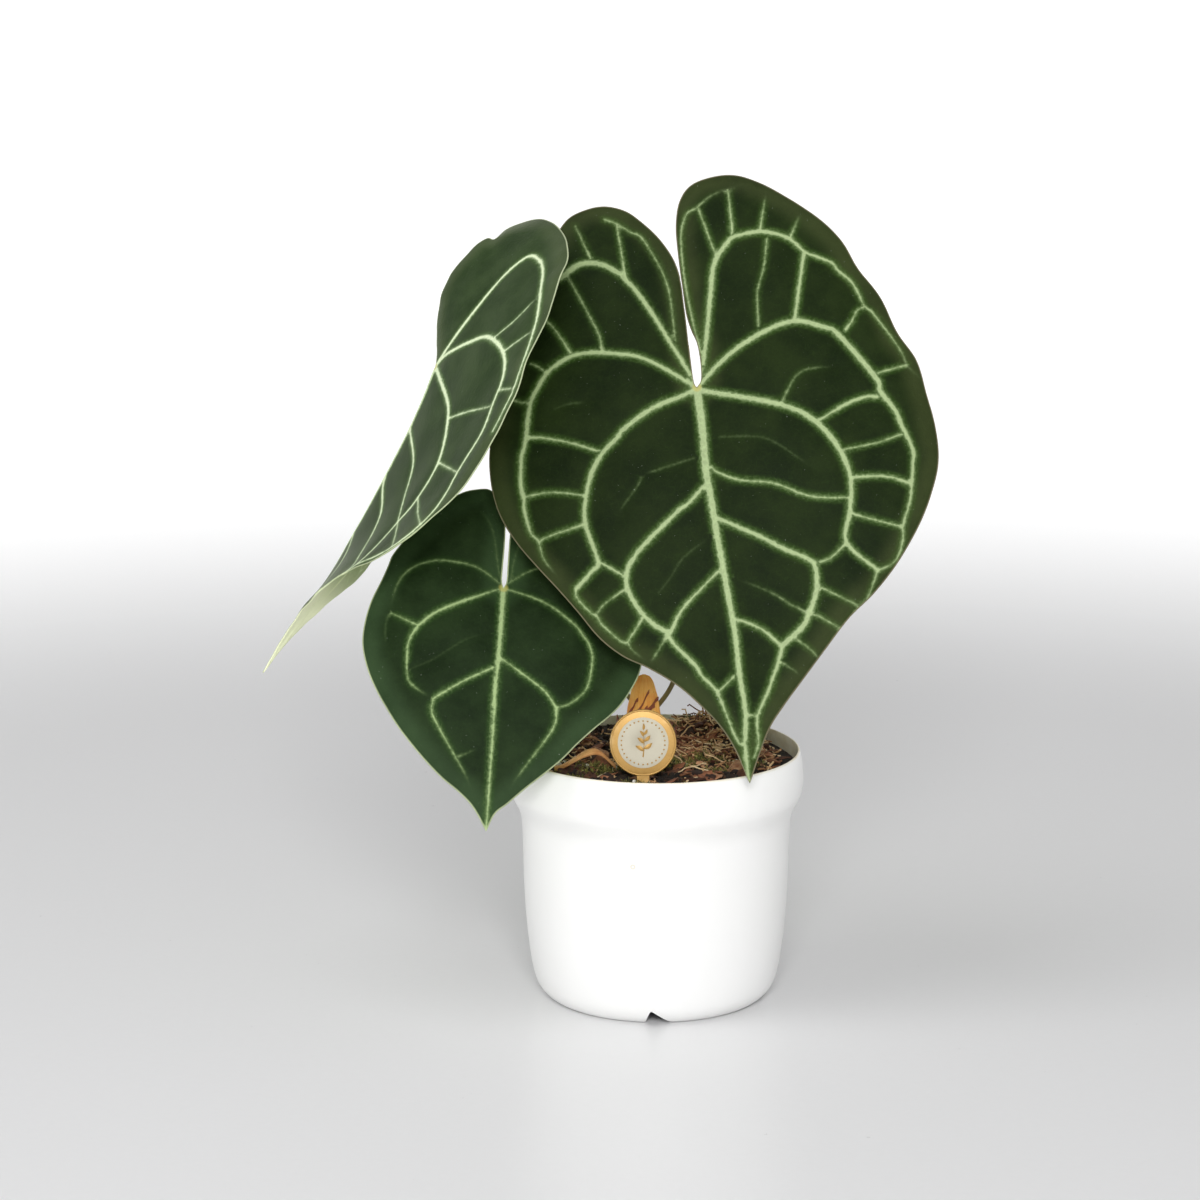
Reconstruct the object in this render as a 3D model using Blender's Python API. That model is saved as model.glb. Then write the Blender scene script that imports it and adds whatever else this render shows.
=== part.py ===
"""Velvet-leaved anthurium with three heart-shaped leaves in a round white pot.

Lengths are in millimetres and turned into metres where a mesh is made. The origin is the
centre of the pot's foot, on the ground. The front is -Y and up is +Z.
"""
import math

import bmesh
import bpy
from mathutils import Vector
from mathutils.geometry import delaunay_2d_cdt

for old in list(bpy.data.objects):
    bpy.data.objects.remove(old, do_unlink=True)

GAP = 0.3               # clear space between pieces that touch

# Pot: outside and inside walls as (radius, height), from the foot up to the lip.
POT_OUTSIDE = [(38.2, 0.0), (42.8, 0.0), (45.4, 1.5), (48.4, 5.0), (50.0, 9.5), (51.4, 17.0),
               (52.8, 29.0), (53.9, 45.0), (54.4, 71.0), (55.2, 77.0), (57.4, 81.5),
               (59.5, 85.6), (60.0, 91.0), (59.5, 97.0), (58.5, 102.2)]
POT_INSIDE = [(57.5, 103.0), (57.6, 98.0), (58.3, 91.0), (57.9, 86.8), (55.9, 82.6),
              (53.8, 78.0), (53.0, 71.0), (52.5, 45.0), (51.3, 29.0), (49.9, 17.0), (47.3, 10.0),
              (43.5, 8.4)]
FLOOR_TOP = 8.4         # upper face of the pot's raised floor
FLOOR_UNDER = 7.0       # its lower face
PAD = 10.0              # radius of the centre pad that reaches the ground
GROOVES = 3             # drainage grooves through the foot
GROOVE_TURN = -93.0     # direction of the front groove, in degrees
DRAIN_RING = 27.0       # radius of the ring of drain holes
DRAIN_HOLE = 3.0

# Mix: height of its surface, and the heap at the back right.
MIX_TOP = 99.0
HEAP = (22.0, 27.0)
HEAP_RISE = 9.0
HEAP_SPREAD = 13.0

# Rootstock and the stalks that stand in sockets on its top.
STOCK = (-4.0, 3.0)
STOCK_RADIUS = 7.4
STOCK_BASE = 74.0
STOCK_TOP = 114.0
STALK = 1.75            # radius of a leaf stalk
STALK_FEET = [(-0.6, 0.8), (-7.4, 1.4), (-4.2, 7.0)]

# Pick: round head on a stake, leaning back to face the viewer.
PICK_HEAD = (-5.8, -40.0, 114.6)
PICK_RADIUS = 13.2
PICK_THICK = 1.6
PICK_LEAN = math.radians(12.0)
STAKE_WIDTH = 5.0
STAKE_END = 66.0

# Leaf template of the front leaf: each half's edge from the stalk to the tip as (across, along),
# with the lobe at negative heights along and the tip at FRONT_LENGTH. The low leaf has its own.
FRONT_LENGTH = 159.3
LOW_LENGTH = 99.0
BLADE_THICK = 0.9
RIB_HEIGHT = 0.55
RIGHT_EDGE = [(0, 0), (2.6, -3), (4, -12), (3.3, -23), (2.2, -36), (1.3, -50), (1.0, -62),
              (1.0, -72), (2.6, -82), (7.2, -88.5), (14, -91.2), (24.5, -91), (34, -87),
              (45, -78.5), (56, -68), (64.5, -57), (70, -43), (77.5, -29), (82, -13), (88, -1),
              (90, 12.8), (91.6, 28), (90.8, 42), (86.5, 54), (79.5, 67), (69, 81), (58, 92),
              (46.9, 100.5), (36, 111.5), (26.3, 121.5), (17, 131.2), (10.5, 139), (5, 149),
              (0, FRONT_LENGTH)]
LEFT_EDGE = [(0, 0), (2.4, -3), (2.2, -12), (1.4, -24), (1.2, -36), (1.4, -48), (3.0, -58),
             (7, -66.5), (13.5, -75.3), (19.4, -81), (27.2, -84.2), (35.4, -84), (42.5, -81),
             (49, -73.5), (56.6, -60), (64.3, -44), (71.4, -27.8), (78.2, -11.7), (83.3, 4.5),
             (85.8, 18), (86, 30), (84, 41), (79, 52.5), (72, 63.5), (65, 73.5), (58, 84),
             (50.7, 95.5), (42.5, 103.8), (33.1, 109.8), (22.8, 118), (14.6, 127.3), (8.4, 136),
             (4, 145.5), (0, FRONT_LENGTH)]
LAPPED_EDGE = [(0, 0), (-4, -6), (-10, -16), (-16, -28), (-19, -42), (-18, -55), (-13, -70),
               (-3, -83)] + RIGHT_EDGE[10:]
LOW_RIGHT_EDGE = [(0, 0), (1.1, -3), (1.1, -10), (1.1, -17), (1.2, -24), (1.9, -31), (4, -38),
                  (8.4, -43), (13.8, -44), (19.8, -41.5), (26, -36.5), (32.5, -29.5),
                  (39, -21.5), (44.7, -12.8), (47.5, -5), (50.2, 2), (53.2, 9.5), (55.5, 17.5),
                  (57, 25), (56, 31.5), (53.3, 38), (49.6, 44.5), (45.1, 50), (39.6, 55.4),
                  (33.3, 62.1), (28, 68.4), (21.7, 74.6), (13.6, 81.9), (7.4, 88), (3, 92),
                  (0, LOW_LENGTH)]
LOW_LEFT_EDGE = [(0, 0), (0.9, -3), (0.9, -10), (0.8, -17), (0.9, -24), (1.6, -31), (4, -38.5),
                 (8.2, -43.5), (14, -43), (19.8, -40.8), (26, -36), (32.5, -29.5), (39, -21.5),
                 (44.7, -12.8), (46.6, -6.8), (49.2, 0.7), (52.1, 8.1), (53.8, 16.3),
                 (54.3, 23.6), (53.3, 30.8), (50.6, 38.9), (47, 45.9), (42.7, 52.7),
                 (37.3, 60.3), (31, 67.6), (24.8, 74), (18.7, 79.5), (12.7, 83.8), (7.6, 88.1),
                 (4, 92.5), (0, LOW_LENGTH)]

# Main veins of each half as (half width, line), in the template's coordinates.
RIGHT_VEINS = [
    (2.3, [(3, 1.4), (19.3, 5.8), (32, 11.5), (44.8, 20.6), (51.6, 32), (54.6, 45.4),
           (53.5, 58.7), (49.3, 71.5), (60, 83)]),
    (2.1, [(2.8, -2.6), (13.5, -11.4), (27.6, -18.9), (41.8, -22.4), (53.7, -18.4),
           (62.3, -10.2), (67.6, -0.9), (71.5, 11.7), (77.3, 22.5), (80.6, 34.8), (78.4, 49.7),
           (72.8, 66), (60, 83), (52.4, 96), (43.7, 106)]),
    (2.1, [(3.4, -7), (5.5, -20), (9.5, -36), (13.8, -52.5), (20.6, -61), (33.3, -63.8),
           (44.2, -59.3), (51, -52.2), (59.3, -47.5), (66.3, -38.6), (70.6, -26), (77.5, -15),
           (83.4, 0.5)]),
    (1.8, [(3, 56), (11.9, 62), (23.9, 69.7), (32.7, 74.9), (37.3, 80), (37.1, 85.8),
           (33.6, 93.7), (27.4, 102.3), (19.4, 108.7), (15, 118.3), (9.4, 130.5), (5, 139)]),
]
LEFT_VEINS = [
    (2.3, [(3, 2), (13.1, 4.9), (26.9, 11.5), (40.3, 20.8), (48.3, 33), (51.3, 44.3), (50.3, 56),
           (46.8, 66.5), (57.5, 74.9)]),
    (2.1, [(2.8, -2.6), (11.3, -9.9), (23.6, -16.7), (36.2, -20.4), (49.4, -20), (58.5, -13.7),
           (65.4, -4.4), (69.5, 10.5), (72.7, 23.6), (72.9, 39), (69.9, 54.6), (66.3, 65),
           (57.5, 74.9), (49.8, 89.5), (41, 98.3)]),
    (2.1, [(3.2, -7), (5.1, -14), (11.2, -28), (17.5, -41), (24.3, -53), (33.4, -60),
           (41.6, -60.5), (48.8, -56.3), (56, -43), (64, -29), (72, -9), (78, 8)]),
    (1.8, [(3, 45), (19.1, 53.8), (30.1, 62.4), (36.5, 69.5), (38.1, 75.7), (34.7, 86.1),
           (24.7, 96.9), (19.7, 106.6), (11.7, 117.9), (7.2, 124), (4, 134)]),
]
LOW_VEINS = [
    (1.5, [(2.4, 1.2), (10.5, 4.3), (21.5, 9.2), (28.8, 14.2), (35, 21), (36.8, 29), (36, 38.3),
           (33, 43.8), (24.3, 48.6)]),
    (1.4, [(2.6, -2), (7.6, -6.5), (14.6, -10.2), (22.5, -11.5), (30.1, -9.8), (36.6, -6.5),
           (41.1, -1.5), (44, 5.9), (45, 13.3), (45.5, 22), (44, 32), (41, 41), (36, 50)]),
    (1.3, [(2.4, -6), (3.3, -14.5), (4.9, -23), (8.3, -30.4), (13.2, -32.5), (21.9, -31.6)]),
    (1.3, [(2.6, 32.6), (8, 36), (14.4, 40.5), (24.3, 48.6), (23.7, 55.5), (20.4, 61.8),
           (16.5, 67), (12, 75.3), (8, 83.5)]),
]
MIDRIB = 2.5            # half width of the front leaf's midrib

# Each leaf: where its blade starts, how it lies and bends, and how its halves fold.
# "right" and "left" give each half's turn about the midrib, in radians, at places along it.
FRONT = dict(name="leaf_front", length=FRONT_LENGTH, size=1.0, lobe=1.0,
             start=(15.6, -6.0, 250.9), along=(0.115, -0.501, -0.858),
             facing=(-0.074, -0.866, 0.495), arch=(0.0022, 0.0012), sway=0.0, droop=-0.0035,
             taper=0.0, right=[(0, 0.10), (1, 0.10)], left=[(0, -0.10), (1, -0.10)],
             edges=(RIGHT_EDGE, LEFT_EDGE), veins=(RIGHT_VEINS, LEFT_VEINS), net=6.8, grid=13.0)
LOW = dict(name="leaf_low", length=LOW_LENGTH, size=1.0, lobe=1.0, start=(-61.1, -20.0, 172.7),
           along=(-0.054, -0.591, -0.805), facing=(0.054, -0.806, 0.589), arch=(0.0030, 0.0020),
           sway=0.0, droop=-0.0055, taper=0.0, right=[(0, 0.08), (1, 0.08)],
           left=[(0, -0.08), (1, -0.08)], edges=(LOW_RIGHT_EDGE, LOW_LEFT_EDGE),
           veins=(LOW_VEINS, LOW_VEINS), net=5.2, grid=10.0)
SIDE = dict(name="leaf_side", length=FRONT_LENGTH, size=0.888, lobe=0.81,
            start=(-88.5, 12.8, 256.6), along=(-0.3663, -0.169, -0.915),
            facing=(-0.0372, -0.9799, 0.1959), arch=(0.0, 0.0091), sway=-0.29, droop=0.0002,
            taper=0.49,
            right=[(-0.55, 0.70), (-0.2, 0.94), (0, 1.04), (0.35, 1.14), (0.6, 1.32), (0.8, 1.66),
                   (1, 2.12)],
            left=[(-0.55, 1.75), (-0.2, 1.71), (0, 1.68), (0.35, 1.69), (0.6, 1.76), (0.8, 1.93),
                  (1, 1.73)],
            edges=(LAPPED_EDGE, LEFT_EDGE), veins=(RIGHT_VEINS, LEFT_VEINS), net=7.4, grid=14.0)


def material(name, color, roughness):
    """One plain Principled material."""
    mat = bpy.data.materials.new(name)
    mat.use_nodes = True
    shader = mat.node_tree.nodes["Principled BSDF"]
    shader.inputs["Base Color"].default_value = (*color, 1.0)
    shader.inputs["Roughness"].default_value = roughness
    mat.diffuse_color = (*color, 1.0)
    return mat


def make_object(name, points, faces, mat):
    """A closed mesh object from millimetre points, with its faces turned outward."""
    mesh = bpy.data.meshes.new(name)
    mesh.from_pydata([Vector(p) * 0.001 for p in points], [], faces)
    form = bmesh.new()
    form.from_mesh(mesh)
    bmesh.ops.remove_doubles(form, verts=form.verts, dist=1e-6)
    bmesh.ops.recalc_face_normals(form, faces=form.faces)
    form.to_mesh(mesh)
    form.free()
    mesh.materials.append(mat)
    obj = bpy.data.objects.new(name, mesh)
    bpy.context.collection.objects.link(obj)
    return obj


def cut(target, cutter):
    """Take the cutter away from the target."""
    cutter.hide_render = True
    cutter.display_type = "WIRE"
    step = target.modifiers.new("cut", "BOOLEAN")
    step.operation = "DIFFERENCE"
    step.solver = "EXACT"
    step.object = cutter
    graph = bpy.context.evaluated_depsgraph_get()
    done = bpy.data.meshes.new_from_object(target.evaluated_get(graph))
    target.modifiers.remove(step)
    target.data = done
    bpy.data.objects.remove(cutter, do_unlink=True)


def smooth_line(points, steps):
    """A Catmull-Rom line through the points, with the given steps between each two."""
    points = [Vector(p) for p in points]
    ends = [2 * points[0] - points[1], *points, 2 * points[-1] - points[-2]]
    line = []
    for k in range(1, len(ends) - 2):
        a, b, c, d = ends[k - 1:k + 3]
        for s in range(steps):
            t = s / steps
            line.append(0.5 * (2 * b + (c - a) * t + (2 * a - 5 * b + 4 * c - d) * t ** 2
                               + (3 * b - a - 3 * c + d) * t ** 3))
    return line + [points[-1]]


def spaced_line(points, gap):
    """The smooth line through the points, with its points about one gap apart."""
    line = smooth_line(points, 10)
    total = sum((q - p).length for p, q in zip(line, line[1:]))
    count = max(1, round(total / gap))
    out = [line[0]]
    walked = 0.0
    for p, q in zip(line, line[1:]):
        length = (q - p).length
        while len(out) < count and walked + length >= total * len(out) / count:
            out.append(p.lerp(q, (total * len(out) / count - walked) / length))
        walked += length
    return out + [line[-1]]


def profile_at(profile, t):
    """Smooth value at t through a short list of (place, value)."""
    place = [p for p, _ in profile]
    value = [v for _, v in profile]
    t = min(max(t, place[0]), place[-1])
    k = max(i for i in range(len(place) - 1) if place[i] <= t)
    slope = []
    for i in (k, k + 1):
        lo = max(i - 1, 0)
        hi = min(i + 1, len(place) - 1)
        slope.append((value[hi] - value[lo]) / (place[hi] - place[lo]))
    h = place[k + 1] - place[k]
    u = (t - place[k]) / h
    return ((2 * u ** 3 - 3 * u ** 2 + 1) * value[k] + (u ** 3 - 2 * u ** 2 + u) * h * slope[0]
            + (3 * u ** 2 - 2 * u ** 3) * value[k + 1] + (u ** 3 - u ** 2) * h * slope[1])


def ease(t):
    """Smooth step from 0 to 1."""
    t = min(max(t, 0.0), 1.0)
    return t * t * (3 - 2 * t)


# Leaf blades

def midrib_frames(leaf):
    """Position, direction, facing and side at each millimetre along the midrib and behind it."""
    along = Vector(leaf["along"]).normalized()
    facing = Vector(leaf["facing"])
    facing = (facing - along * facing.dot(along)).normalized()
    side = facing.cross(along)
    length = leaf["length"] * leaf["size"]

    def heading(b):
        arch = leaf["arch"][0 if b > 0 else 1] * b
        sway = leaf["sway"] * b / length if b > 0 else 0.0
        ahead = math.cos(arch) * along - math.sin(arch) * facing
        out = math.sin(arch) * along + math.cos(arch) * facing
        return ahead * math.cos(sway) + side * math.sin(sway), out

    frames = {}
    for way in (1, -1):
        spot = Vector(leaf["start"])
        last = heading(0)[0]
        for b in range(0, way * 175, way):
            ahead, out = heading(b)
            spot = spot + (ahead + last) * 0.5 * (way if b else 0)
            last = ahead
            out = (out - ahead * out.dot(ahead)).normalized()
            frames[b] = (spot.copy(), ahead, out, out.cross(ahead))
    return frames


def blade_point(leaf, frames, way, a, b):
    """Point of the blade's middle sheet: way is 1 on the right half and -1 on the left half."""
    length = leaf["length"] * leaf["size"]
    a = a * leaf["size"] * (1 - leaf["taper"] * ease((b / leaf["length"] - 0.5) / 0.35))
    b = b * leaf["size"] * (leaf["lobe"] if b < 0 else 1)
    low = math.floor(b)
    part = b - low
    spot, _, out, side = (x.lerp(y, part) for x, y in zip(frames[low], frames[low + 1]))
    turn = profile_at(leaf["right" if way > 0 else "left"], b / length)
    curl = leaf["droop"]
    end = turn + way * curl * a
    reach = (math.sin(end) - math.sin(turn)) / curl
    rise = (math.cos(turn) - math.cos(end)) / curl
    return spot + side * reach + out * rise


def inside(edge, p):
    """Whether a template point lies inside the closed edge."""
    odd = False
    for q, r in zip(edge, edge[1:] + edge[:1]):
        if (q.y > p.y) != (r.y > p.y) and p.x < q.x + (p.y - q.y) * (r.x - q.x) / (r.y - q.y):
            odd = not odd
    return odd


def line_distance(p, line):
    """Shortest distance from a point to a line of points."""
    best = 1e9
    for q, r in zip(line, line[1:]):
        step = r - q
        t = min(max((p - q).dot(step) / step.length_squared, 0.0), 1.0)
        best = min(best, (q + step * t - p).length)
    return best


def half_net(leaf, way):
    """Triangles of one half of the template, with the veins in them, and each point's rib."""
    gap = leaf["net"]
    length = leaf["length"]
    edge = spaced_line(leaf["edges"][0 if way > 0 else 1], gap * 0.85)
    rib = [Vector((0, length * (1 - k / 18))) for k in range(1, 18)]
    border = edge + rib
    veins = [(width, spaced_line(line, gap)) for width, line in leaf["veins"][0 if way > 0 else 1]]
    midrib = MIDRIB * (length / FRONT_LENGTH) ** 0.7
    veins_and_rib = veins + [(midrib, [Vector((0, 0)), Vector((0, length))])]
    points = list(border)
    joins = [(k, (k + 1) % len(border)) for k in range(len(border))]
    for _, line in veins:
        joins += [(len(points) + k, len(points) + k + 1) for k in range(len(line) - 1)]
        points += line
    loose = [Vector((midrib, p.y)) for p in rib]
    for width, line in veins:
        for p, q in zip(line, line[1:]):
            across = (q - p).normalized() * width
            across = Vector((-across.y, across.x))
            loose += [(p + q) / 2 + across, (p + q) / 2 - across]
    grid = leaf["grid"]
    rows = range(-8, 16)
    columns = range(-1, 9)
    for row in rows:
        for col in columns:
            loose.append(Vector((col * grid + (row % 2) * grid / 2, row * grid * 0.87)))
    for k, p in enumerate(loose):
        lattice = k >= len(loose) - len(rows) * len(columns)
        clear = grid * 0.42 if lattice else gap * 0.22
        if inside(border, p) and min((p - q).length for q in points) > clear:
            if line_distance(p, border + border[:1]) > clear * 0.7:
                if not lattice or min(line_distance(p, line) for _, line in veins) > clear:
                    points.append(p)
    net, _, faces, _, _, _ = delaunay_2d_cdt(points, joins, [list(range(len(border)))], 1, 0.2)
    heights = []
    for p in net:
        fade = ease(1.2 * (1 - p.y / length) + 0.3)
        rise = max(1 - line_distance(p, line) / width for width, line in veins_and_rib)
        heights.append(max(rise, 0.0) * fade)
    return net, faces, heights


def blade(leaf, mat):
    """A thin leaf blade with raised veins, split into the same triangles on both faces."""
    frames = midrib_frames(leaf)
    sheet = bmesh.new()
    height = sheet.verts.layers.float.new("height")
    for way in (1, -1):
        net, faces, heights = half_net(leaf, way)
        verts = []
        for p, h in zip(net, heights):
            vert = sheet.verts.new(blade_point(leaf, frames, way, p.x, p.y))
            vert[height] = h * RIB_HEIGHT * (leaf["length"] * leaf["size"] / FRONT_LENGTH) ** 0.5
            verts.append(vert)
        for face in faces:
            sheet.faces.new([verts[k] for k in (face if way < 0 else reversed(face))])
    bmesh.ops.remove_doubles(sheet, verts=sheet.verts, dist=0.001)
    bmesh.ops.delete(sheet, geom=[v for v in sheet.verts if not v.link_faces], context="VERTS")
    bmesh.ops.triangulate(sheet, faces=sheet.faces)
    sheet.normal_update()
    sheet.verts.index_update()
    front = [v.co + v.normal * (BLADE_THICK / 2 + v[height]) for v in sheet.verts]
    back = [v.co - v.normal * (BLADE_THICK / 2 + v[height]) for v in sheet.verts]
    count = len(front)
    faces = []
    for face in sheet.faces:
        a, b, c = (v.index for v in face.verts)
        faces += [(a, b, c), (c + count, b + count, a + count)]
    for edge in sheet.edges:
        if edge.is_boundary:
            a, b = (v.index for v in edge.verts)
            faces += [(a, b, b + count), (a, b + count, a + count)]
    sheet.free()
    return make_object(leaf["name"], front + back, faces, mat)


# Stalks, rootstock and other round pieces

def tube(name, path, radii, sides, mat, steps=4):
    """A closed round rod along a smooth path, its radius going smoothly through the given ones."""
    line = smooth_line(path, steps)
    widths = [w.x for w in smooth_line([(r, 0) for r in radii], steps)]
    turn = Vector((1, 0, 0))
    points = []
    for k, p in enumerate(line):
        ahead = (line[min(k + 1, len(line) - 1)] - line[max(k - 1, 0)]).normalized()
        turn = (turn - ahead * turn.dot(ahead)).normalized()
        other = ahead.cross(turn)
        for s in range(sides):
            angle = 2 * math.pi * s / sides
            points.append(p + (turn * math.cos(angle) + other * math.sin(angle)) * widths[k])
    faces = [tuple(reversed(range(sides))), tuple(range(len(points) - sides, len(points)))]
    for k in range(len(line) - 1):
        for s in range(sides):
            n = (s + 1) % sides
            a, b = k * sides, (k + 1) * sides
            faces += [(a + s, a + n, b + n), (a + s, b + n, b + s)]
    return make_object(name, points, faces, mat)


def stalk(name, leaf, foot, path, behind, mat):
    """A leaf stalk from its socket in the rootstock to just behind its blade, swollen at its top."""
    frames = midrib_frames(leaf)
    spot, _, out, side = frames[0]
    turn = (profile_at(leaf["right"], 0) + profile_at(leaf["left"], 0)) / 2
    facing = out * math.cos(turn) - side * math.sin(turn)
    size = (leaf["length"] * leaf["size"] / FRONT_LENGTH) ** 0.5
    upright = [(*foot, STOCK_TOP + z) for z in (-5, 0, 4)]
    neck = [spot - facing * (behind + back * size) for back in (9, 4, 0)]
    radii = [STALK * 1.1] * 3 + [STALK] * (len(path) - 1) + [STALK * 0.92]
    radii += [STALK * swell * size for swell in (1.25, 1.35, 1.2)]
    return tube(name, upright + list(path) + neck, radii, 10, mat)


def rod(name, spot, radius, low, high, sides, mat=None):
    """An upright round bar, for cutting holes."""
    points = []
    for z in (low, high):
        for s in range(sides):
            angle = 2 * math.pi * s / sides
            x, y = radius * math.cos(angle), radius * math.sin(angle)
            points.append((spot[0] + x, spot[1] + y, z))
    faces = [tuple(reversed(range(sides))), tuple(range(sides, 2 * sides))]
    faces += [(s, (s + 1) % sides, sides + (s + 1) % sides, sides + s) for s in range(sides)]
    return make_object(name, points, faces, mat)


def turned(name, outline, segments, mat):
    """A body turned about Z from an outline of (radius, height) that starts and ends on the axis."""
    rings = []
    points = []
    for radius, z in outline:
        start = len(points)
        if radius < 1e-6:
            points.append((0, 0, z))
            rings.append([start] * segments)
            continue
        for s in range(segments):
            angle = 2 * math.pi * s / segments
            points.append((radius * math.cos(angle), radius * math.sin(angle), z))
        rings.append(list(range(start, start + segments)))
    faces = []
    for low, high in zip(rings, rings[1:]):
        for s in range(segments):
            n = (s + 1) % segments
            corners = list(dict.fromkeys((low[s], low[n], high[n], high[s])))
            faces.append(tuple(corners))
    return make_object(name, points, faces, mat)


def pot(mat):
    """The moulded pot with its raised floor, centre pad, drain holes and flared grooves."""
    under = [(0, 0), (PAD, 0), (PAD + 1.6, FLOOR_UNDER - 0.8), (PAD + 3, FLOOR_UNDER),
             (37.0, FLOOR_UNDER), (38.2, FLOOR_UNDER - 1)]
    top = [(PAD + 3.6, FLOOR_TOP), (PAD, FLOOR_TOP - 1), (PAD - 1.5, 1.4), (0, 1.4)]
    body = turned("pot", under + POT_OUTSIDE + POT_INSIDE + top, 48, mat)
    for k in range(6):
        angle = math.radians(GROOVE_TURN + 30 + 60 * k)
        spot = (DRAIN_RING * math.cos(angle), DRAIN_RING * math.sin(angle))
        cut(body, rod("hole", spot, DRAIN_HOLE, FLOOR_UNDER - 2, FLOOR_TOP + 2, 14))
    for k in range(GROOVES):
        angle = math.radians(GROOVE_TURN + 360 / GROOVES * k)
        ahead = Vector((math.cos(angle), math.sin(angle), 0))
        across = Vector((-ahead.y, ahead.x, 0))
        points = []
        arch = [(-1.25, -2), (-0.9, 0.45), (-0.35, 0.95), (0.35, 0.95), (0.9, 0.45), (1.25, -2)]
        for reach, half, rise in ((30, 1.6, 5.6), (36, 1.8, 6.0), (43, 4.8, 6.5), (54, 9.5, 7.4)):
            for width, z in arch:
                z = z if z < 0 else z * rise
                points.append(ahead * reach + across * width * half + Vector((0, 0, z)))
        faces = [tuple(range(6)), tuple(reversed(range(18, 24)))]
        for ring in range(3):
            for s in range(6):
                a, b = ring * 6 + s, ring * 6 + (s + 1) % 6
                faces += [(a, b, b + 6), (a, b + 6, a + 6)]
        cut(body, make_object("groove", points, faces, None))
    return body


def mix_height(x, y):
    """Height of the mix's surface."""
    heap = HEAP_RISE * math.exp(-math.dist((x, y), HEAP) ** 2 / (2 * HEAP_SPREAD ** 2))
    lumps = 0.9 * math.sin(x * 0.31 + 1.3 * math.sin(y * 0.23)) * math.cos(y * 0.37 - 0.8)
    calm = ease((math.dist((x, y), STOCK) - 12) / 10) * ease((math.hypot(x - 6, y + 40) - 9) / 8)
    return MIX_TOP + heap + lumps * calm * ease((56 - math.hypot(x, y)) / 8)


def potting_mix(mat):
    """The mix that fills the pot, with plain holes for the rootstock and the pick's stake."""
    segments = 48
    points = [(0, 0, mix_height(0, 0))]
    rings = [8, 16, 24, 32, 40, 47, 53, 57]
    for radius in rings:
        for s in range(segments):
            angle = 2 * math.pi * s / segments
            x, y = radius * math.cos(angle), radius * math.sin(angle)
            points.append((x, y, mix_height(x, y)))
    wall = [(57.9, 91.0), (57.5, 87.0), (55.5, 82.7), (53.4, 78.2), (52.6, 71), (52.1, 45),
            (50.9, 29), (49.4, 17.2), (46.8, 10.6), (43.2, FLOOR_TOP + GAP)]
    for radius, z in wall:
        for s in range(segments):
            angle = 2 * math.pi * s / segments
            points.append((radius * math.cos(angle), radius * math.sin(angle), z))
    faces = [(0, 1 + s, 1 + (s + 1) % segments) for s in range(segments)]
    for ring in range(len(rings) + len(wall) - 1):
        for s in range(segments):
            a = 1 + ring * segments
            n = (s + 1) % segments
            faces += [(a + s, a + segments + s, a + segments + n), (a + s, a + segments + n, a + n)]
    last = len(points) - segments
    faces.append(tuple(last + s for s in reversed(range(segments))))
    body = make_object("potting_mix", points, faces, mat)
    cut(body, rod("stock_hole", STOCK, STOCK_RADIUS + 0.6 + GAP, STOCK_BASE - GAP, 130, 16))
    slot = (STAKE_WIDTH + 2 * GAP, PICK_THICK + 2 * GAP)
    cut(body, pick_outline("stake_slot", *slot, STAKE_END - GAP, 0, None))
    return body


def rootstock(mat):
    """The short stem, with a socket for each leaf stalk."""
    path = [(*STOCK, z) for z in (STOCK_BASE, STOCK_BASE + 14, STOCK_TOP - 12, STOCK_TOP)]
    radii = [STOCK_RADIUS * r for r in (0.8, 1.0, 1.0, 0.9)]
    body = tube("rootstock", path, radii, 16, mat, 3)
    for foot in STALK_FEET:
        cut(body, rod("socket", foot, STALK * 1.1 + GAP, STOCK_TOP - 5 - GAP, STOCK_TOP + 3, 12))
    return body


def curved_sheet(name, place, rows, columns, thick, mat):
    """A thin sheet from place(u, v), which gives a point and its outward direction."""
    front = []
    back = []
    for j in range(rows + 1):
        for i in range(columns + 1):
            spot, out = place(i / columns, j / rows)
            front.append(spot + out * thick / 2)
            back.append(spot - out * thick / 2)
    wide = columns + 1
    count = len(front)
    faces = []
    for j in range(rows):
        for i in range(columns):
            a = j * wide + i
            b, c, d = a + 1, a + wide + 1, a + wide
            faces += [(a, b, c), (a, c, d)]
            faces += [(c + count, b + count, a + count), (d + count, c + count, a + count)]
    border = [*range(wide), *range(2 * wide - 1, wide * (rows + 1), wide)]
    border += [*range(wide * (rows + 1) - 2, wide * rows - 1, -1), *range(wide * (rows - 1), 0, -wide)]
    for a, b in zip(border, border[1:] + border[:1]):
        faces += [(b, a, a + count), (b, a + count, b + count)]
    return make_object(name, front + back, faces, mat)


def around_stock(radius, angle, z):
    """A point and its outward direction on a ring around the rootstock."""
    out = Vector((math.cos(angle), math.sin(angle), 0))
    return Vector((STOCK[0], STOCK[1], z)) + out * radius, out


def seat(radius, angle):
    """Height just above the mix on a ring around the rootstock."""
    x, y = STOCK[0] + radius * math.cos(angle), STOCK[1] + radius * math.sin(angle)
    return mix_height(x, y) + GAP + 0.2


def tall_sheath(u, v):
    """The orange sheath: wide at its foot, pointed at its top."""
    spread = math.radians(58) * (1 - v) ** 0.75 + math.radians(4)
    angle = math.radians(-96 + 8 * v) + (2 * u - 1) * spread
    foot = seat(9.0, angle)
    return around_stock(9.0 + 0.5 * math.sin(math.pi * v), angle, foot + (134.5 - foot) * v)


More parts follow.
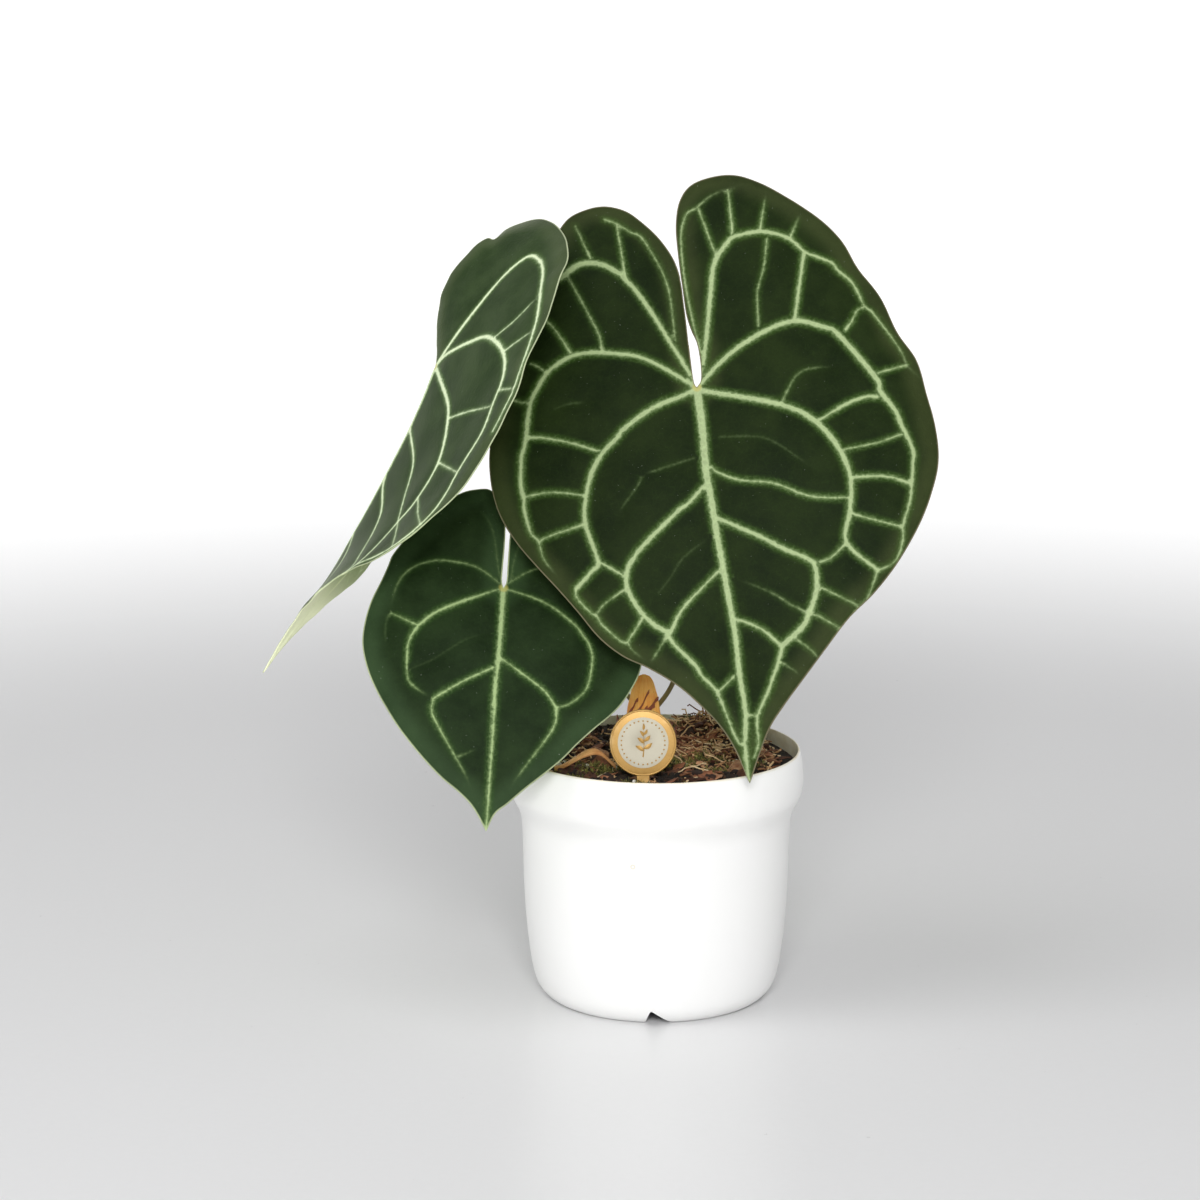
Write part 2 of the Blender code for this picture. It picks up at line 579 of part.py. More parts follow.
def wrap_sheath(u, v):
    """The fibrous remains wrapped round the rootstock, with a torn upper edge."""
    angle = math.radians(-250 + 320 * u)
    torn = 10.5 + 4 * math.cos(angle - math.radians(-150))
    torn += 1.8 * math.sin(9 * angle) + 1.2 * math.sin(4 * angle + 1)
    return around_stock(11.6 + 0.8 * math.sin(5 * angle) * v, angle, seat(11.6, angle) + torn * v)


def bract(u, v):
    """The dry bract: a strip that lies on the mix and arches up, its long edges rolled under."""
    t = v
    x = -41 + 24.5 * t
    y = -24 - 3.0 * math.sin(math.pi * t) + 1.5 * t
    across = u - 0.5
    rise = 6.2 * math.sin(math.pi * t ** 1.5) + 0.6
    width = 5.2 * (1 - 0.45 * t)
    roll = across * 3.6
    spot = Vector((x, y + math.sin(roll) / 3.6 * width * 1.6, 0))
    spot.z = mix_height(spot.x, spot.y) + GAP + 1.6 + rise + (math.cos(roll) - 1) * width * 0.28
    return spot, Vector((0, math.sin(roll) * 0.9, math.cos(roll))).normalized()


def pick_outline(name, width, thick, low, head, mat):
    """The stake, with a round head where head is its radius, in the plane that leans back."""
    depth = PICK_HEAD[2] - low - 8
    outline = [(-width / 2, -depth), (0, -depth - 8), (width / 2, -depth)]
    if head:
        edge = math.asin(width / 2 / head)
        outline += [(head * math.sin(a), -head * math.cos(a))
                    for a in (edge + (2 * math.pi - 2 * edge) * k / 40 for k in range(41))]
    else:
        outline += [(width / 2, 0), (-width / 2, 0)]
    up = Vector((0, math.sin(PICK_LEAN), math.cos(PICK_LEAN)))
    out = Vector((0, -math.cos(PICK_LEAN), math.sin(PICK_LEAN)))
    count = len(outline)
    points = [Vector(PICK_HEAD) + Vector((x, 0, 0)) + up * y + out * side * thick / 2
              for side in (1, -1) for x, y in outline]
    faces = [tuple(range(count)), tuple(reversed(range(count, 2 * count)))]
    faces += [(k, (k + 1) % count, (k + 1) % count + count, k + count) for k in range(count)]
    return make_object(name, points, faces, mat)


white = material("pot_white", (0.86, 0.86, 0.84), 0.35)
soil = material("mix_brown", (0.13, 0.075, 0.04), 0.95)
bark = material("stock_brown", (0.16, 0.09, 0.05), 0.9)
stem = material("stalk_olive", (0.17, 0.15, 0.07), 0.5)
green = material("leaf_green", (0.022, 0.06, 0.02), 0.45)
orange = material("sheath_orange", (0.62, 0.27, 0.07), 0.7)
rust = material("sheath_rust", (0.22, 0.08, 0.035), 0.9)
gold = material("pick_gold", (0.62, 0.42, 0.13), 0.4)

pot(white)
potting_mix(soil)
rootstock(bark)
stalk("petiole_front", FRONT, STALK_FEET[0],
      [(6.8, 0, 130), (14, 3, 155), (19, 6, 190), (20, 7, 222)], 1.7, stem)
stalk("petiole_low", LOW, STALK_FEET[1],
      [(-12, 4, 124), (-27, 5, 143), (-45, 1, 158), (-56, -5, 163)], 1.6, stem)
stalk("petiole_side", SIDE, STALK_FEET[2],
      [(-9, 14, 132), (-24, 26, 165), (-42, 30, 202), (-60, 26, 233), (-73, 18, 248)], 2.2, stem)
blade(FRONT, green)
blade(LOW, green)
blade(SIDE, green)
curved_sheet("sheath_tall", tall_sheath, 7, 8, 0.8, orange)
curved_sheet("sheath_wrap", wrap_sheath, 3, 30, 0.9, rust)
curved_sheet("dry_bract", bract, 12, 6, 0.8, orange)
pick_outline("plant_pick", STAKE_WIDTH, PICK_THICK, STAKE_END, PICK_RADIUS, gold)
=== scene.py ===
import math

import bmesh
import bpy
import numpy as np
from mathutils import Matrix, Vector, noise
from mathutils.geometry import delaunay_2d_cdt


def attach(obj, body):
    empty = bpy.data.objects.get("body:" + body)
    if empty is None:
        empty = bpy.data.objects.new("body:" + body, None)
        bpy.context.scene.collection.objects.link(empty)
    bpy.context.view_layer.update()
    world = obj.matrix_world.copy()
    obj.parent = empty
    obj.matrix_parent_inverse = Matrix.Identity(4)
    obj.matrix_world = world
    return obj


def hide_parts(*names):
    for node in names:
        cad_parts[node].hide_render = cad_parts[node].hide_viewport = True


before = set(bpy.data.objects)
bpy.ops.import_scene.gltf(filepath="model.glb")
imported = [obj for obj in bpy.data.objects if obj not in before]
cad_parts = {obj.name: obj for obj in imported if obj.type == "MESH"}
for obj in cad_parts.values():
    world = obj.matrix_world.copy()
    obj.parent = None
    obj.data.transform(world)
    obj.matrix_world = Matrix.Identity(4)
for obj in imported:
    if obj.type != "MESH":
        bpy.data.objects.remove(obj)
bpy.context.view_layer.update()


# Pot
# A thin moulded plastic pot: a tapered wall under a rolled collar, a foot ring with drainage grooves,
# and a raised floor with drain holes. Its shape is turned, so one tree turns its outline.

class Socket:
    """An output of a node. Arithmetic on it adds Math nodes to its tree."""

    def __init__(self, tree, output):
        self.tree = tree
        self.output = output

    def maths(self, operation, *others):
        values = dict(enumerate((self, *others)))
        return self.tree.node("ShaderNodeMath", {"operation": operation}, values)

    def __add__(self, other):
        return self.maths("ADD", other)

    def __sub__(self, other):
        return self.maths("SUBTRACT", other)

    def __rsub__(self, other):
        return self * -1.0 + other

    def __mul__(self, other):
        return self.maths("MULTIPLY", other)

    def __pow__(self, other):
        return self.maths("POWER", other)

    __radd__ = __add__
    __rmul__ = __mul__

    def rise(self, low, high):
        """0 at low and 1 at high, with a smooth step between."""
        return self.tree.node("ShaderNodeMapRange", {"interpolation_type": "SMOOTHSTEP"},
                              {0: self, 1: low, 2: high})

    def out(self, name):
        """Another output of the same node."""
        return Socket(self.tree, self.output.node.outputs[name])


class Tree:
    """A node tree that is being built."""

    def __init__(self, nodes):
        self.nodes = nodes

    def join(self, value, place):
        """Put a value or a link into a socket."""
        if isinstance(value, Socket):
            self.nodes.links.new(value.output, place)
        else:
            place.default_value = value

    def node(self, kind, settings=None, inputs=None):
        """Add a node: its settings first, then the values or links of its sockets."""
        made = self.nodes.nodes.new(kind)
        for name, value in (settings or {}).items():
            if name == "stops":
                ends = made.color_ramp.elements
                ends[0].position, ends[0].color = value[0][0], (*value[0][1], 1)
                ends[1].position, ends[1].color = value[-1][0], (*value[-1][1], 1)
                for spot, colour in value[1:-1]:
                    ends.new(spot).color = (*colour, 1)
            else:
                setattr(made, name, value)
        for name, value in (inputs or {}).items():
            named = [s for s in made.inputs if s.name == name and s.enabled]
            self.join(value, made.inputs[name] if isinstance(name, int) else named[0])
        shown = [s for s in made.outputs if s.enabled]
        return Socket(self, shown[0]) if shown else made

    def vectors(self, operation, *values):
        """Vector Math on vectors."""
        return self.node("ShaderNodeVectorMath", {"operation": operation}, dict(enumerate(values)))

    def vector(self, *parts):
        """A vector from its parts."""
        return self.node("ShaderNodeCombineXYZ", {}, dict(enumerate(parts)))


class Finish(Tree):
    """A material that is being built. Sockets that are the same all over are set as constants."""

    def __init__(self, name, **constants):
        self.material = bpy.data.materials.new(name)
        self.material.use_nodes = True
        super().__init__(self.material.node_tree)
        self.shader = self.nodes.nodes["Principled BSDF"]
        for key, value in constants.items():
            self.shader.inputs[key.replace("_", " ")].default_value = value
        self.place = self.node("ShaderNodeTexCoord").out("Object")

    def speckle(self, scale, detail=3.0, rough=0.5, place=None):
        """Noise between 0 and 1 with features about 1/scale metres across."""
        return self.node("ShaderNodeTexNoise", {}, {"Vector": place or self.place, "Scale": scale,
                                                    "Detail": detail, "Roughness": rough})

    def blend(self, share, first, second):
        """Two colours mixed by share."""
        first = first if isinstance(first, Socket) else (*first, 1)
        second = second if isinstance(second, Socket) else (*second, 1)
        return self.node("ShaderNodeMix", {"data_type": "RGBA", "clamp_factor": True},
                         {"Factor": share, "A": first, "B": second})

    def ramp(self, stops, place):
        """A colour from a list of (place, colour)."""
        return self.node("ShaderNodeValToRGB", {"stops": stops}, {"Fac": place})

    def layer(self, name):
        """An attribute that the mesh carries."""
        return self.node("ShaderNodeAttribute", {"attribute_name": name})

    def ridges(self, height, strength, depth, under=None):
        """A bump from a height between 0 and 1 that stands depth metres tall."""
        inputs = {"Height": height, "Strength": strength, "Distance": depth}
        if under:
            inputs["Normal"] = under
        return self.node("ShaderNodeBump", {}, inputs)

    def done(self, **sockets):
        """Link the finished sockets, and give the material."""
        for key, value in sockets.items():
            self.join(value, self.shader.inputs[key.replace("_", " ")])
        return self.material


class Growth(Tree):
    """A Geometry Nodes tree with named inputs."""

    def __init__(self, name, **inputs):
        super().__init__(bpy.data.node_groups.new(name, "GeometryNodeTree"))
        face = self.nodes.interface
        face.new_socket("Geometry", in_out="OUTPUT", socket_type="NodeSocketGeometry")
        face.new_socket("Geometry", in_out="INPUT", socket_type="NodeSocketGeometry")
        for key, kind in inputs.items():
            face.new_socket(key, in_out="INPUT", socket_type="NodeSocket" + kind)
        self.entry = self.node("NodeGroupInput")

    def end(self, geometry):
        """Close the tree with real geometry and the material."""
        real = self.node("GeometryNodeRealizeInstances", {}, {"Geometry": geometry})
        dressed = self.node("GeometryNodeSetMaterial", {},
                            {"Geometry": real, "Material": self.entry.out("Finish")})
        self.node("NodeGroupOutput", {}, {"Geometry": dressed})

    def grow(self, name, mesh, **values):
        """The plain mesh object that the tree makes from a mesh and its input values."""
        piece = bpy.data.objects.new(name, mesh)
        bpy.context.scene.collection.objects.link(piece)
        step = piece.modifiers.new("growth", "NODES")
        step.node_group = self.nodes
        for item in self.nodes.interface.items_tree:
            if item.in_out == "INPUT" and item.name in values:
                step[item.identifier] = values[item.name]
        graph = bpy.context.evaluated_depsgraph_get()
        grown = bpy.data.meshes.new_from_object(piece.evaluated_get(graph), depsgraph=graph)
        piece.modifiers.remove(step)
        piece.data = grown
        grown.name = name
        return piece


def smooth_line(points, gap):
    """A Catmull-Rom line through the points, with its points about one gap apart."""
    points = np.array(points, float)
    ends = np.vstack([2 * points[0] - points[1], points, 2 * points[-1] - points[-2]])
    t = np.arange(0, 1, 1 / 16)[:, None]
    line = [0.5 * (2 * b + (c - a) * t + (2 * a - 5 * b + 4 * c - d) * t ** 2
                   + (3 * b - a - 3 * c + d) * t ** 3)
            for a, b, c, d in zip(ends, ends[1:], ends[2:], ends[3:])]
    line = np.vstack([*line, points[-1:]])
    walked = np.concatenate([[0], np.cumsum(np.linalg.norm(np.diff(line, axis=0), axis=1))])
    places = np.linspace(0, walked[-1], max(2, round(walked[-1] / gap) + 1))
    return np.stack([np.interp(places, walked, column) for column in line.T], 1)


def soften(outline, most):
    """Cut each corner of an outline, by a quarter of its sides and by no more than most."""
    outline = np.array(outline, float)
    soft = [outline[0]]
    for before, here, after in zip(outline, outline[1:], outline[2:]):
        back, ahead = before - here, after - here
        cosine = back @ ahead / np.linalg.norm(back) / np.linalg.norm(ahead)
        turn = math.pi - math.acos(np.clip(cosine, -1, 1))
        room = 1e3 if turn < 0.5 else most
        for side in (back, ahead):
            soft.append(here + side * min(0.25, room / np.linalg.norm(side)))
    return np.array([*soft, outline[-1]])


def mesh_object(name, points, faces, finish=None, scale=0.001):
    """A mesh object from millimetre points."""
    mesh = bpy.data.meshes.new(name)
    mesh.from_pydata([tuple(p) for p in np.array(points, float) * scale], [], faces)
    if finish:
        mesh.materials.append(finish)
    piece = bpy.data.objects.new(name, mesh)
    bpy.context.scene.collection.objects.link(piece)
    return piece


def band(count, low, high):
    """Quads between two rings of points, one starting at low and one at high."""
    return [(low + k, low + (k + 1) % count, high + (k + 1) % count, high + k) for k in range(count)]


def carve(piece, cutters):
    """Take the cutters away from a piece, and keep its sharp corners sharp."""
    for cutter in cutters:
        step = piece.modifiers.new("carve", "BOOLEAN")
        step.operation = "DIFFERENCE"
        step.solver = "EXACT"
        step.object = cutter
    graph = bpy.context.evaluated_depsgraph_get()
    carved = bpy.data.meshes.new_from_object(piece.evaluated_get(graph), depsgraph=graph)
    piece.modifiers.clear()
    piece.data = carved
    for cutter in cutters:
        bpy.data.objects.remove(cutter, do_unlink=True)
    carved.shade_smooth()
    carved.set_sharp_from_angle(angle=math.radians(38))


turning = Growth("turned outline", Outline="Object", Rows="Int", Segments="Int", Finish="Material")
rows = turning.entry.out("Rows")
lattice = turning.node("GeometryNodeMeshGrid", {}, {
    "Size X": rows - 1, "Size Y": 2 * math.pi, "Vertices X": rows,
    "Vertices Y": turning.entry.out("Segments") + 1})
spot = turning.node("ShaderNodeSeparateXYZ", {}, {0: turning.node("GeometryNodeInputPosition")})
outline = turning.node("GeometryNodeObjectInfo", {}, {"Object": turning.entry.out("Outline")}).out("Geometry")
reach = turning.node("GeometryNodeSampleIndex", {"data_type": "FLOAT_VECTOR"}, {
    "Geometry": outline, "Value": turning.node("GeometryNodeInputPosition"),
    "Index": (spot + (rows - 1) * 0.5).maths("ROUND")})
reach = turning.node("ShaderNodeSeparateXYZ", {}, {0: reach})
turned = turning.node("GeometryNodeSetPosition", {}, {
    "Geometry": lattice,
    "Position": turning.vector(reach * spot.out("Y").maths("COSINE"),
                               reach * spot.out("Y").maths("SINE"), reach.out("Z"))})
turning.end(turning.node("GeometryNodeMergeByDistance", {}, {"Geometry": turned, "Distance": 1e-6}))


def face_outwards(piece):
    """Turn every face of a closed piece outwards."""
    form = bmesh.new()
    form.from_mesh(piece.data)
    bmesh.ops.recalc_face_normals(form, faces=form.faces)
    form.to_mesh(piece.data)
    form.free()


def turned_piece(name, outline, segments, finish):
    """A body turned about Z from an outline of (radius, height) in millimetres."""
    guide = mesh_object("outline", [(r, 0, z) for r, z in outline], [])
    piece = turning.grow(name, bpy.data.meshes.new("seed"), Outline=guide, Rows=len(outline),
                         Segments=segments, Finish=finish)
    bpy.data.objects.remove(guide, do_unlink=True)
    face_outwards(piece)
    return piece


def rod(spot, radius, low, high, sides):
    """An upright round bar that cuts a hole."""
    ring = [(spot[0] + radius * math.cos(2 * math.pi * s / sides),
             spot[1] + radius * math.sin(2 * math.pi * s / sides)) for s in range(sides)]
    points = [(x, y, low) for x, y in ring] + [(x, y, high) for x, y in ring]
    faces = [tuple(reversed(range(sides))), tuple(range(sides, 2 * sides))]
    return mesh_object("rod", points, faces + band(sides, 0, sides))


def pot_finish():
    """White glossy plastic: faint flow marks, fine scuffs, and soil stains on the inner wall."""
    mat = Finish("pot_plastic", IOR=1.49)
    radius = mat.vectors("LENGTH", mat.vectors("MULTIPLY", mat.place, (1, 1, 0))).out("Value")
    height = mat.node("ShaderNodeSeparateXYZ", {}, {0: mat.place}).out("Z")
    inner = radius.rise(0.0586, 0.0578) * height.rise(0.085, 0.095)
    flow = mat.speckle(28, 4)
    stain = inner * mat.speckle(160, 4).rise(0.35, 0.7)
    white = mat.blend(flow, (0.88, 0.88, 0.865), (0.92, 0.92, 0.915))
    gate = mat.vectors("DISTANCE", mat.place, (-0.0099, -0.0535, 0.0676)).out("Value")
    gate = gate.rise(0.0012, 0.0009) * gate.rise(0.0003, 0.0006)
    white = mat.blend(gate * 0.5, white, (0.62, 0.55, 0.36))
    white = mat.blend(inner * 0.7, white, (0.88, 0.80, 0.62))
    white = mat.blend(stain * 0.5, white, (0.66, 0.54, 0.34))
    scuff = mat.speckle(900, 2).rise(0.62, 0.8) * mat.speckle(35, 2).rise(0.5, 0.7)
    grain = mat.ridges(mat.speckle(2600, 2), 0.05, 0.0002)
    grain = mat.ridges(flow, 0.12, 0.002, grain)
    return mat.done(Base_Color=white, Roughness=0.27 + 0.10 * flow + 0.2 * scuff + 0.3 * stain, Normal=grain)


POT_UNDER = [(0, 0), (10.0, 0), (11.6, 6.2), (13.0, 7.0), (37.0, 7.0), (38.2, 6.0)]
POT_OUTSIDE = [(38.2, 0.0), (42.8, 0.0), (45.4, 1.5), (48.4, 5.0), (50.0, 9.5), (51.4, 17.0),
               (52.8, 29.0), (53.9, 45.0), (54.4, 71.0), (55.2, 77.0), (57.4, 81.5),
               (59.5, 85.6), (60.0, 91.0), (59.5, 97.0), (58.5, 102.2)]
POT_INSIDE = [(57.5, 103.0), (57.6, 98.0), (58.3, 91.0), (57.9, 86.8), (55.9, 82.6),
              (53.8, 78.0), (53.0, 71.0), (52.5, 45.0), (51.3, 29.0), (49.9, 17.0), (47.3, 10.0),
              (43.5, 8.4), (13.6, 8.4), (10.0, 7.4), (8.5, 1.4), (0, 1.4)]
plastic = pot_finish()
pot = turned_piece("Pot", soften(soften(POT_UNDER + POT_OUTSIDE + POT_INSIDE, 0.45), 0.2), 168, plastic)

cutters = []
for k in range(6):
    angle = math.radians(-63 + 60 * k)
    cutters.append(rod((27 * math.cos(angle), 27 * math.sin(angle)), 3.0, 5, 11, 28))
for k in range(3):
    angle = math.radians(-93 + 120 * k)
    ahead = np.array([math.cos(angle), math.sin(angle), 0])
    across = np.array([-ahead[1], ahead[0], 0])
    arch = [(-0.62, -2), (-0.55, 0), (-0.3, 0.55), (-0.1, 0.9), (0, 1), (0.12, 0.98), (0.5, 0.75),
            (1.1, 0.38), (1.6, 0.12), (1.9, 0), (1.95, -2)]
    points = [ahead * out + across * width * half + np.array([0, 0, z if z < 0 else z * tall])
              for out, half, tall in ((30, 1.4, 5.2), (36, 2.4, 5.7), (43, 4.6, 6.2), (54, 5.6, 6.6))
              for width, z in arch]
    n = len(arch)
    faces = [tuple(range(n)), tuple(reversed(range(3 * n, 4 * n)))]
    faces += [quad for r in range(3) for quad in band(n, r * n, r * n + n)]
    cutters.append(mesh_object("groove", points, faces))
carve(pot, cutters)
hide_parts("pot")
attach(pot, "root")


# Potting mix
# Bark, coir fibre and a little perlite, heaped at the back right, with moss starting on it. The
# body fills the pot, with plain holes for the rootstock and the pick, and loose pieces lie on it.

MIX_LEVEL = 99.0
STOCK_X, STOCK_Y = -4, 3


def ease(t):
    """Smooth step from 0 to 1."""
    t = np.clip(t, 0.0, 1.0)
    return t * t * (3 - 2 * t)


def mix_height(x, y):
    """Height of the mix's surface."""
    heap = 9.0 * np.exp(-((x - 22) ** 2 + (y - 27) ** 2) / (2 * 13.0 ** 2))
    lumps = 0.9 * np.sin(x * 0.31 + 1.3 * np.sin(y * 0.23)) * np.cos(y * 0.37 - 0.8)
    calm = ease((np.hypot(x - STOCK_X, y - STOCK_Y) - 12) / 10) * ease((np.hypot(x - 6, y + 40) - 9) / 8)
    return MIX_LEVEL + heap + lumps * calm * ease((56 - np.hypot(x, y)) / 8)


def mix_finish():
    """Damp brown crumb, from near black to rust, with pale flecks."""
    mat = Finish("mix_crumb")
    crumbs = mat.node("ShaderNodeTexVoronoi", {}, {"Vector": mat.place, "Scale": 420.0})
    tone = mat.speckle(60, 5)
    brown = mat.ramp([
        (0.3, (0.006, 0.004, 0.003)), (0.55, (0.020, 0.011, 0.007)), (0.75, (0.07, 0.034, 0.017)),
        (0.95, (0.20, 0.10, 0.05))], tone * 0.6 + crumbs.out("Color") * 0.4)
    bits = mat.ridges(crumbs.out("Distance"), 0.9, 0.0012)
    bits = mat.ridges(mat.speckle(1500, 4, 0.7), 0.5, 0.0005, bits)
    return mat.done(Base_Color=brown, Roughness=0.75 + 0.2 * tone, Normal=bits)


MIX_WALL = [(57.9, 91.0), (57.5, 87.0), (55.5, 82.7), (53.4, 78.2), (52.6, 71), (52.1, 45),
            (50.9, 29), (49.4, 17.2), (46.8, 10.6), (43.2, 8.7)]
top = [(r, MIX_LEVEL) for r in np.arange(0, 57.3, 1.15)] + [(57.0, MIX_LEVEL)]
mix = turned_piece("Potting_mix", list(reversed(top + MIX_WALL + [(0, 8.7)])), 150, mix_finish())
for vert in mix.data.vertices:
    x, y, z = np.array(vert.co) * 1000
    if z > 98 and math.hypot(x, y) < 57.05:
        inner = ease((56.5 - math.hypot(x, y)) / 3)
        rough = noise.fractal(Vector((x, y, 0)) * 0.14, 0.9, 2.1, 5) * 1.1
        rough += abs(noise.noise(Vector((x, y, 5)) * 0.45)) * 1.2
        settled = 3.2 * ease((math.hypot(x, y) - 43) / 11) * ease((x + 12) / 40)
        vert.co.z = (mix_height(x, y) - settled + (rough - 0.5) * inner) * 0.001

PICK_LEAN = math.radians(12)
PICK_UP = np.array([0, math.sin(PICK_LEAN), math.cos(PICK_LEAN)])
PICK_OUT = np.array([0, -math.cos(PICK_LEAN), math.sin(PICK_LEAN)])
PICK_HEAD = np.array([-5.8, -40.0, 114.6])


def pick_plate(name, outline, thick, finish=None):
    """A flat plate in the pick's leaning plane from an outline of (across, up)."""
    count = len(outline)
    points = [PICK_HEAD + np.array([x, 0, 0]) + PICK_UP * y + PICK_OUT * side * thick / 2
              for side in (1, -1) for x, y in outline]
    faces = [tuple(range(count)), tuple(reversed(range(count, 2 * count)))]
    return mesh_object(name, points, faces + band(count, 0, count), finish)


surface = bpy.data.meshes.new("mix_surface")
form = bmesh.new()
form.from_mesh(mix.data)
bmesh.ops.delete(form, geom=[f for f in form.faces if f.calc_center_median().z < 0.0975 or f.normal.z < 0.2],
                 context="FACES")
form.to_mesh(surface)
form.free()
carve(mix, [rod((STOCK_X, STOCK_Y), 8.3, 73.7, 130, 32),
            pick_plate("slot", [(-2.8, -40.9), (0, -48.9), (2.8, -40.9), (2.8, 0), (-2.8, 0)], 2.2)])
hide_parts("potting_mix")
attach(mix, "root")

# Where each kind of loose piece lies, as a share of its full density.
places = np.array([v.co for v in surface.vertices]) * 1000
x, y, z = places.T
patch = np.array([noise.noise(Vector((a * 0.09, b * 0.09, 3.0))) for a, b in zip(x, y)])
out = np.hypot(x, y)
stock_clear = ease((np.hypot(x - STOCK_X, y - STOCK_Y) - 11.5) / 2)


def within(radius, fade):
    """Full density inside a radius, fading to none outside it and round the rootstock."""
    return ease((radius - out) / fade) * stock_clear


def keep_values(mesh, name, values):
    """Give each point of a mesh a number under a name."""
    mesh.attributes.new(name, "FLOAT", "POINT").data.foreach_set("value", values.astype(np.float32))


heaped = 0.10 + 1.0 * ease((x + 2) / 14) * ease((y + 20) / 10) + 0.5 * patch
mossy = (np.exp(-((x - 17) / 14) ** 2 - ((y + 12) / 6) ** 2)
         + 0.8 * np.exp(-((x + 20) / 11) ** 2 - ((y + 22) / 7) ** 2)
         + 0.7 * ease((patch - 0.25) / 0.2))
lies = {
    "fibre": within(52, 4) * np.clip(heaped, 0.03, 1),
    "crumb": within(55.7, 1.5) * np.clip(0.75 + patch, 0.3, 1),
    "chip": within(51, 4) * np.clip(0.5 - 1.1 * patch, 0.10, 1),
    "moss": within(54.5, 3) * np.clip(mossy, 0, 1),
    "grain": within(44, 4),
}
lies["long"] = lies["fibre"] * ease((47 - out) / 6)
for kind, share in lies.items():
    keep_values(surface, kind, share)


def strewn(tree):
    """Points spread over the surface by the density that the surface carries."""
    share = tree.node("GeometryNodeInputNamedAttribute", {"data_type": "FLOAT"},
                      {"Name": tree.entry.out("Where")})
    return tree.node("GeometryNodeDistributePointsOnFaces", {"distribute_method": "RANDOM"}, {
        "Mesh": tree.entry.out("Geometry"), "Density": tree.entry.out("Density") * share,
        "Seed": tree.entry.out("Seed")})


def chance(tree, low, high, offset=0):
    """A random number for each point or copy."""
    return tree.node("FunctionNodeRandomValue", {"data_type": "FLOAT"}, {
        "Min": low, "Max": high, "Seed": tree.entry.out("Seed") + offset})


def tinted(tree, geometry, domain):
    """Keep a random tint with each copy."""
    return tree.node("GeometryNodeStoreNamedAttribute", {"data_type": "FLOAT", "domain": domain}, {
        "Geometry": geometry, "Name": "tint", "Value": chance(tree, 0.0, 1.0, 91)})


fibres = Growth("strewn fibres", Where="String", Density="Float", Seed="Int", Length="Float", Radius="Float",
                Curl="Float", Finish="Material")
spots = strewn(fibres)
half = fibres.entry.out("Length") * 0.5
strand = fibres.node("GeometryNodeCurvePrimitiveLine", {}, {
    "Start": fibres.vector(half * -1.0), "End": fibres.vector(half)})
strand = fibres.node("GeometryNodeResampleCurve", {}, {"Curve": strand, "Count": 8})
yaw = fibres.vector(chance(fibres, -0.3, 0.3, 1), chance(fibres, -0.45, 0.45, 2),
                    chance(fibres, 0.0, 6.283, 3))
laid = fibres.node("GeometryNodeInstanceOnPoints", {}, {
    "Points": spots, "Instance": strand, "Rotation": yaw, "Scale": chance(fibres, 0.35, 1.25, 4)})
laid = fibres.node("GeometryNodeRealizeInstances", {}, {"Geometry": tinted(fibres, laid, "INSTANCE")})
tint = fibres.node("GeometryNodeInputNamedAttribute", {"data_type": "FLOAT"}, {"Name": "tint"})
drift = fibres.vectors("ADD", fibres.node("GeometryNodeInputPosition"),
                       fibres.vector(tint * 3.0, tint * 7.0))
wave = fibres.node("ShaderNodeTexNoise", {}, {"Vector": drift, "Scale": 130.0, "Detail": 1.0}).out("Color")
wave = fibres.vectors("SUBTRACT", wave, (0.5, 0.5, 0.44))
wave = fibres.node("ShaderNodeVectorMath", {"operation": "SCALE"}, {
    0: wave, "Scale": fibres.entry.out("Curl")})
laid = fibres.node("GeometryNodeSetPosition", {}, {"Geometry": laid, "Offset": wave})
along = fibres.node("GeometryNodeSplineParameter")
thin = (1 - (along * 2.0 - 1.0) ** 4.0 * 0.75) * (0.5 + tint)
ring = fibres.node("GeometryNodeCurvePrimitiveCircle", {}, {
    "Resolution": 5, "Radius": fibres.entry.out("Radius")})
tubes = fibres.node("GeometryNodeCurveToMesh", {}, {
    "Curve": fibres.node("GeometryNodeSetCurveRadius", {}, {"Curve": laid, "Radius": thin}),
    "Profile Curve": ring, "Fill Caps": True})
fibres.end(fibres.node("GeometryNodeSetShadeSmooth", {}, {"Geometry": tubes}))

bits = Growth("strewn bits", Where="String", Kind="Object", Density="Float", Seed="Int", Least="Float",
              Most="Float", Tilt="Float", Lift="Float", Finish="Material")
tilt = bits.entry.out("Tilt")
turn = bits.vector(chance(bits, tilt * -1.0, tilt, 1), chance(bits, tilt * -1.0, tilt, 2),
                   chance(bits, 0.0, 6.283, 3))
sizes = bits.vector(*(chance(bits, bits.entry.out("Least"), bits.entry.out("Most"), 4 + axis)
                      for axis in range(3)))
shape = bits.node("GeometryNodeObjectInfo", {}, {"Object": bits.entry.out("Kind")}).out("Geometry")
raised = bits.node("GeometryNodeSetPosition", {}, {
    "Geometry": strewn(bits), "Offset": bits.vector(0.0, 0.0, bits.entry.out("Lift"))})
laid = bits.node("GeometryNodeInstanceOnPoints", {}, {
    "Points": raised, "Instance": shape, "Rotation": turn, "Scale": sizes})
bits.end(tinted(bits, laid, "INSTANCE"))


def lump(name, flat, rough, seed, cuts):
    """A small irregular piece one unit across, of few faces."""
    form = bmesh.new()
    bmesh.ops.create_icosphere(form, subdivisions=cuts, radius=0.5)
    for vert in form.verts:
        vert.co *= 1 + rough * noise.noise(vert.co * 2.3 + Vector((seed, 0, 0)))
        vert.co.z *= flat
        vert.co.x *= 1 + 0.5 * (1 - flat)
    piece = mesh_object(name, [v.co for v in form.verts], [[v.index for v in f.verts] for f in form.faces],
                        scale=1)
    form.free()
    return piece


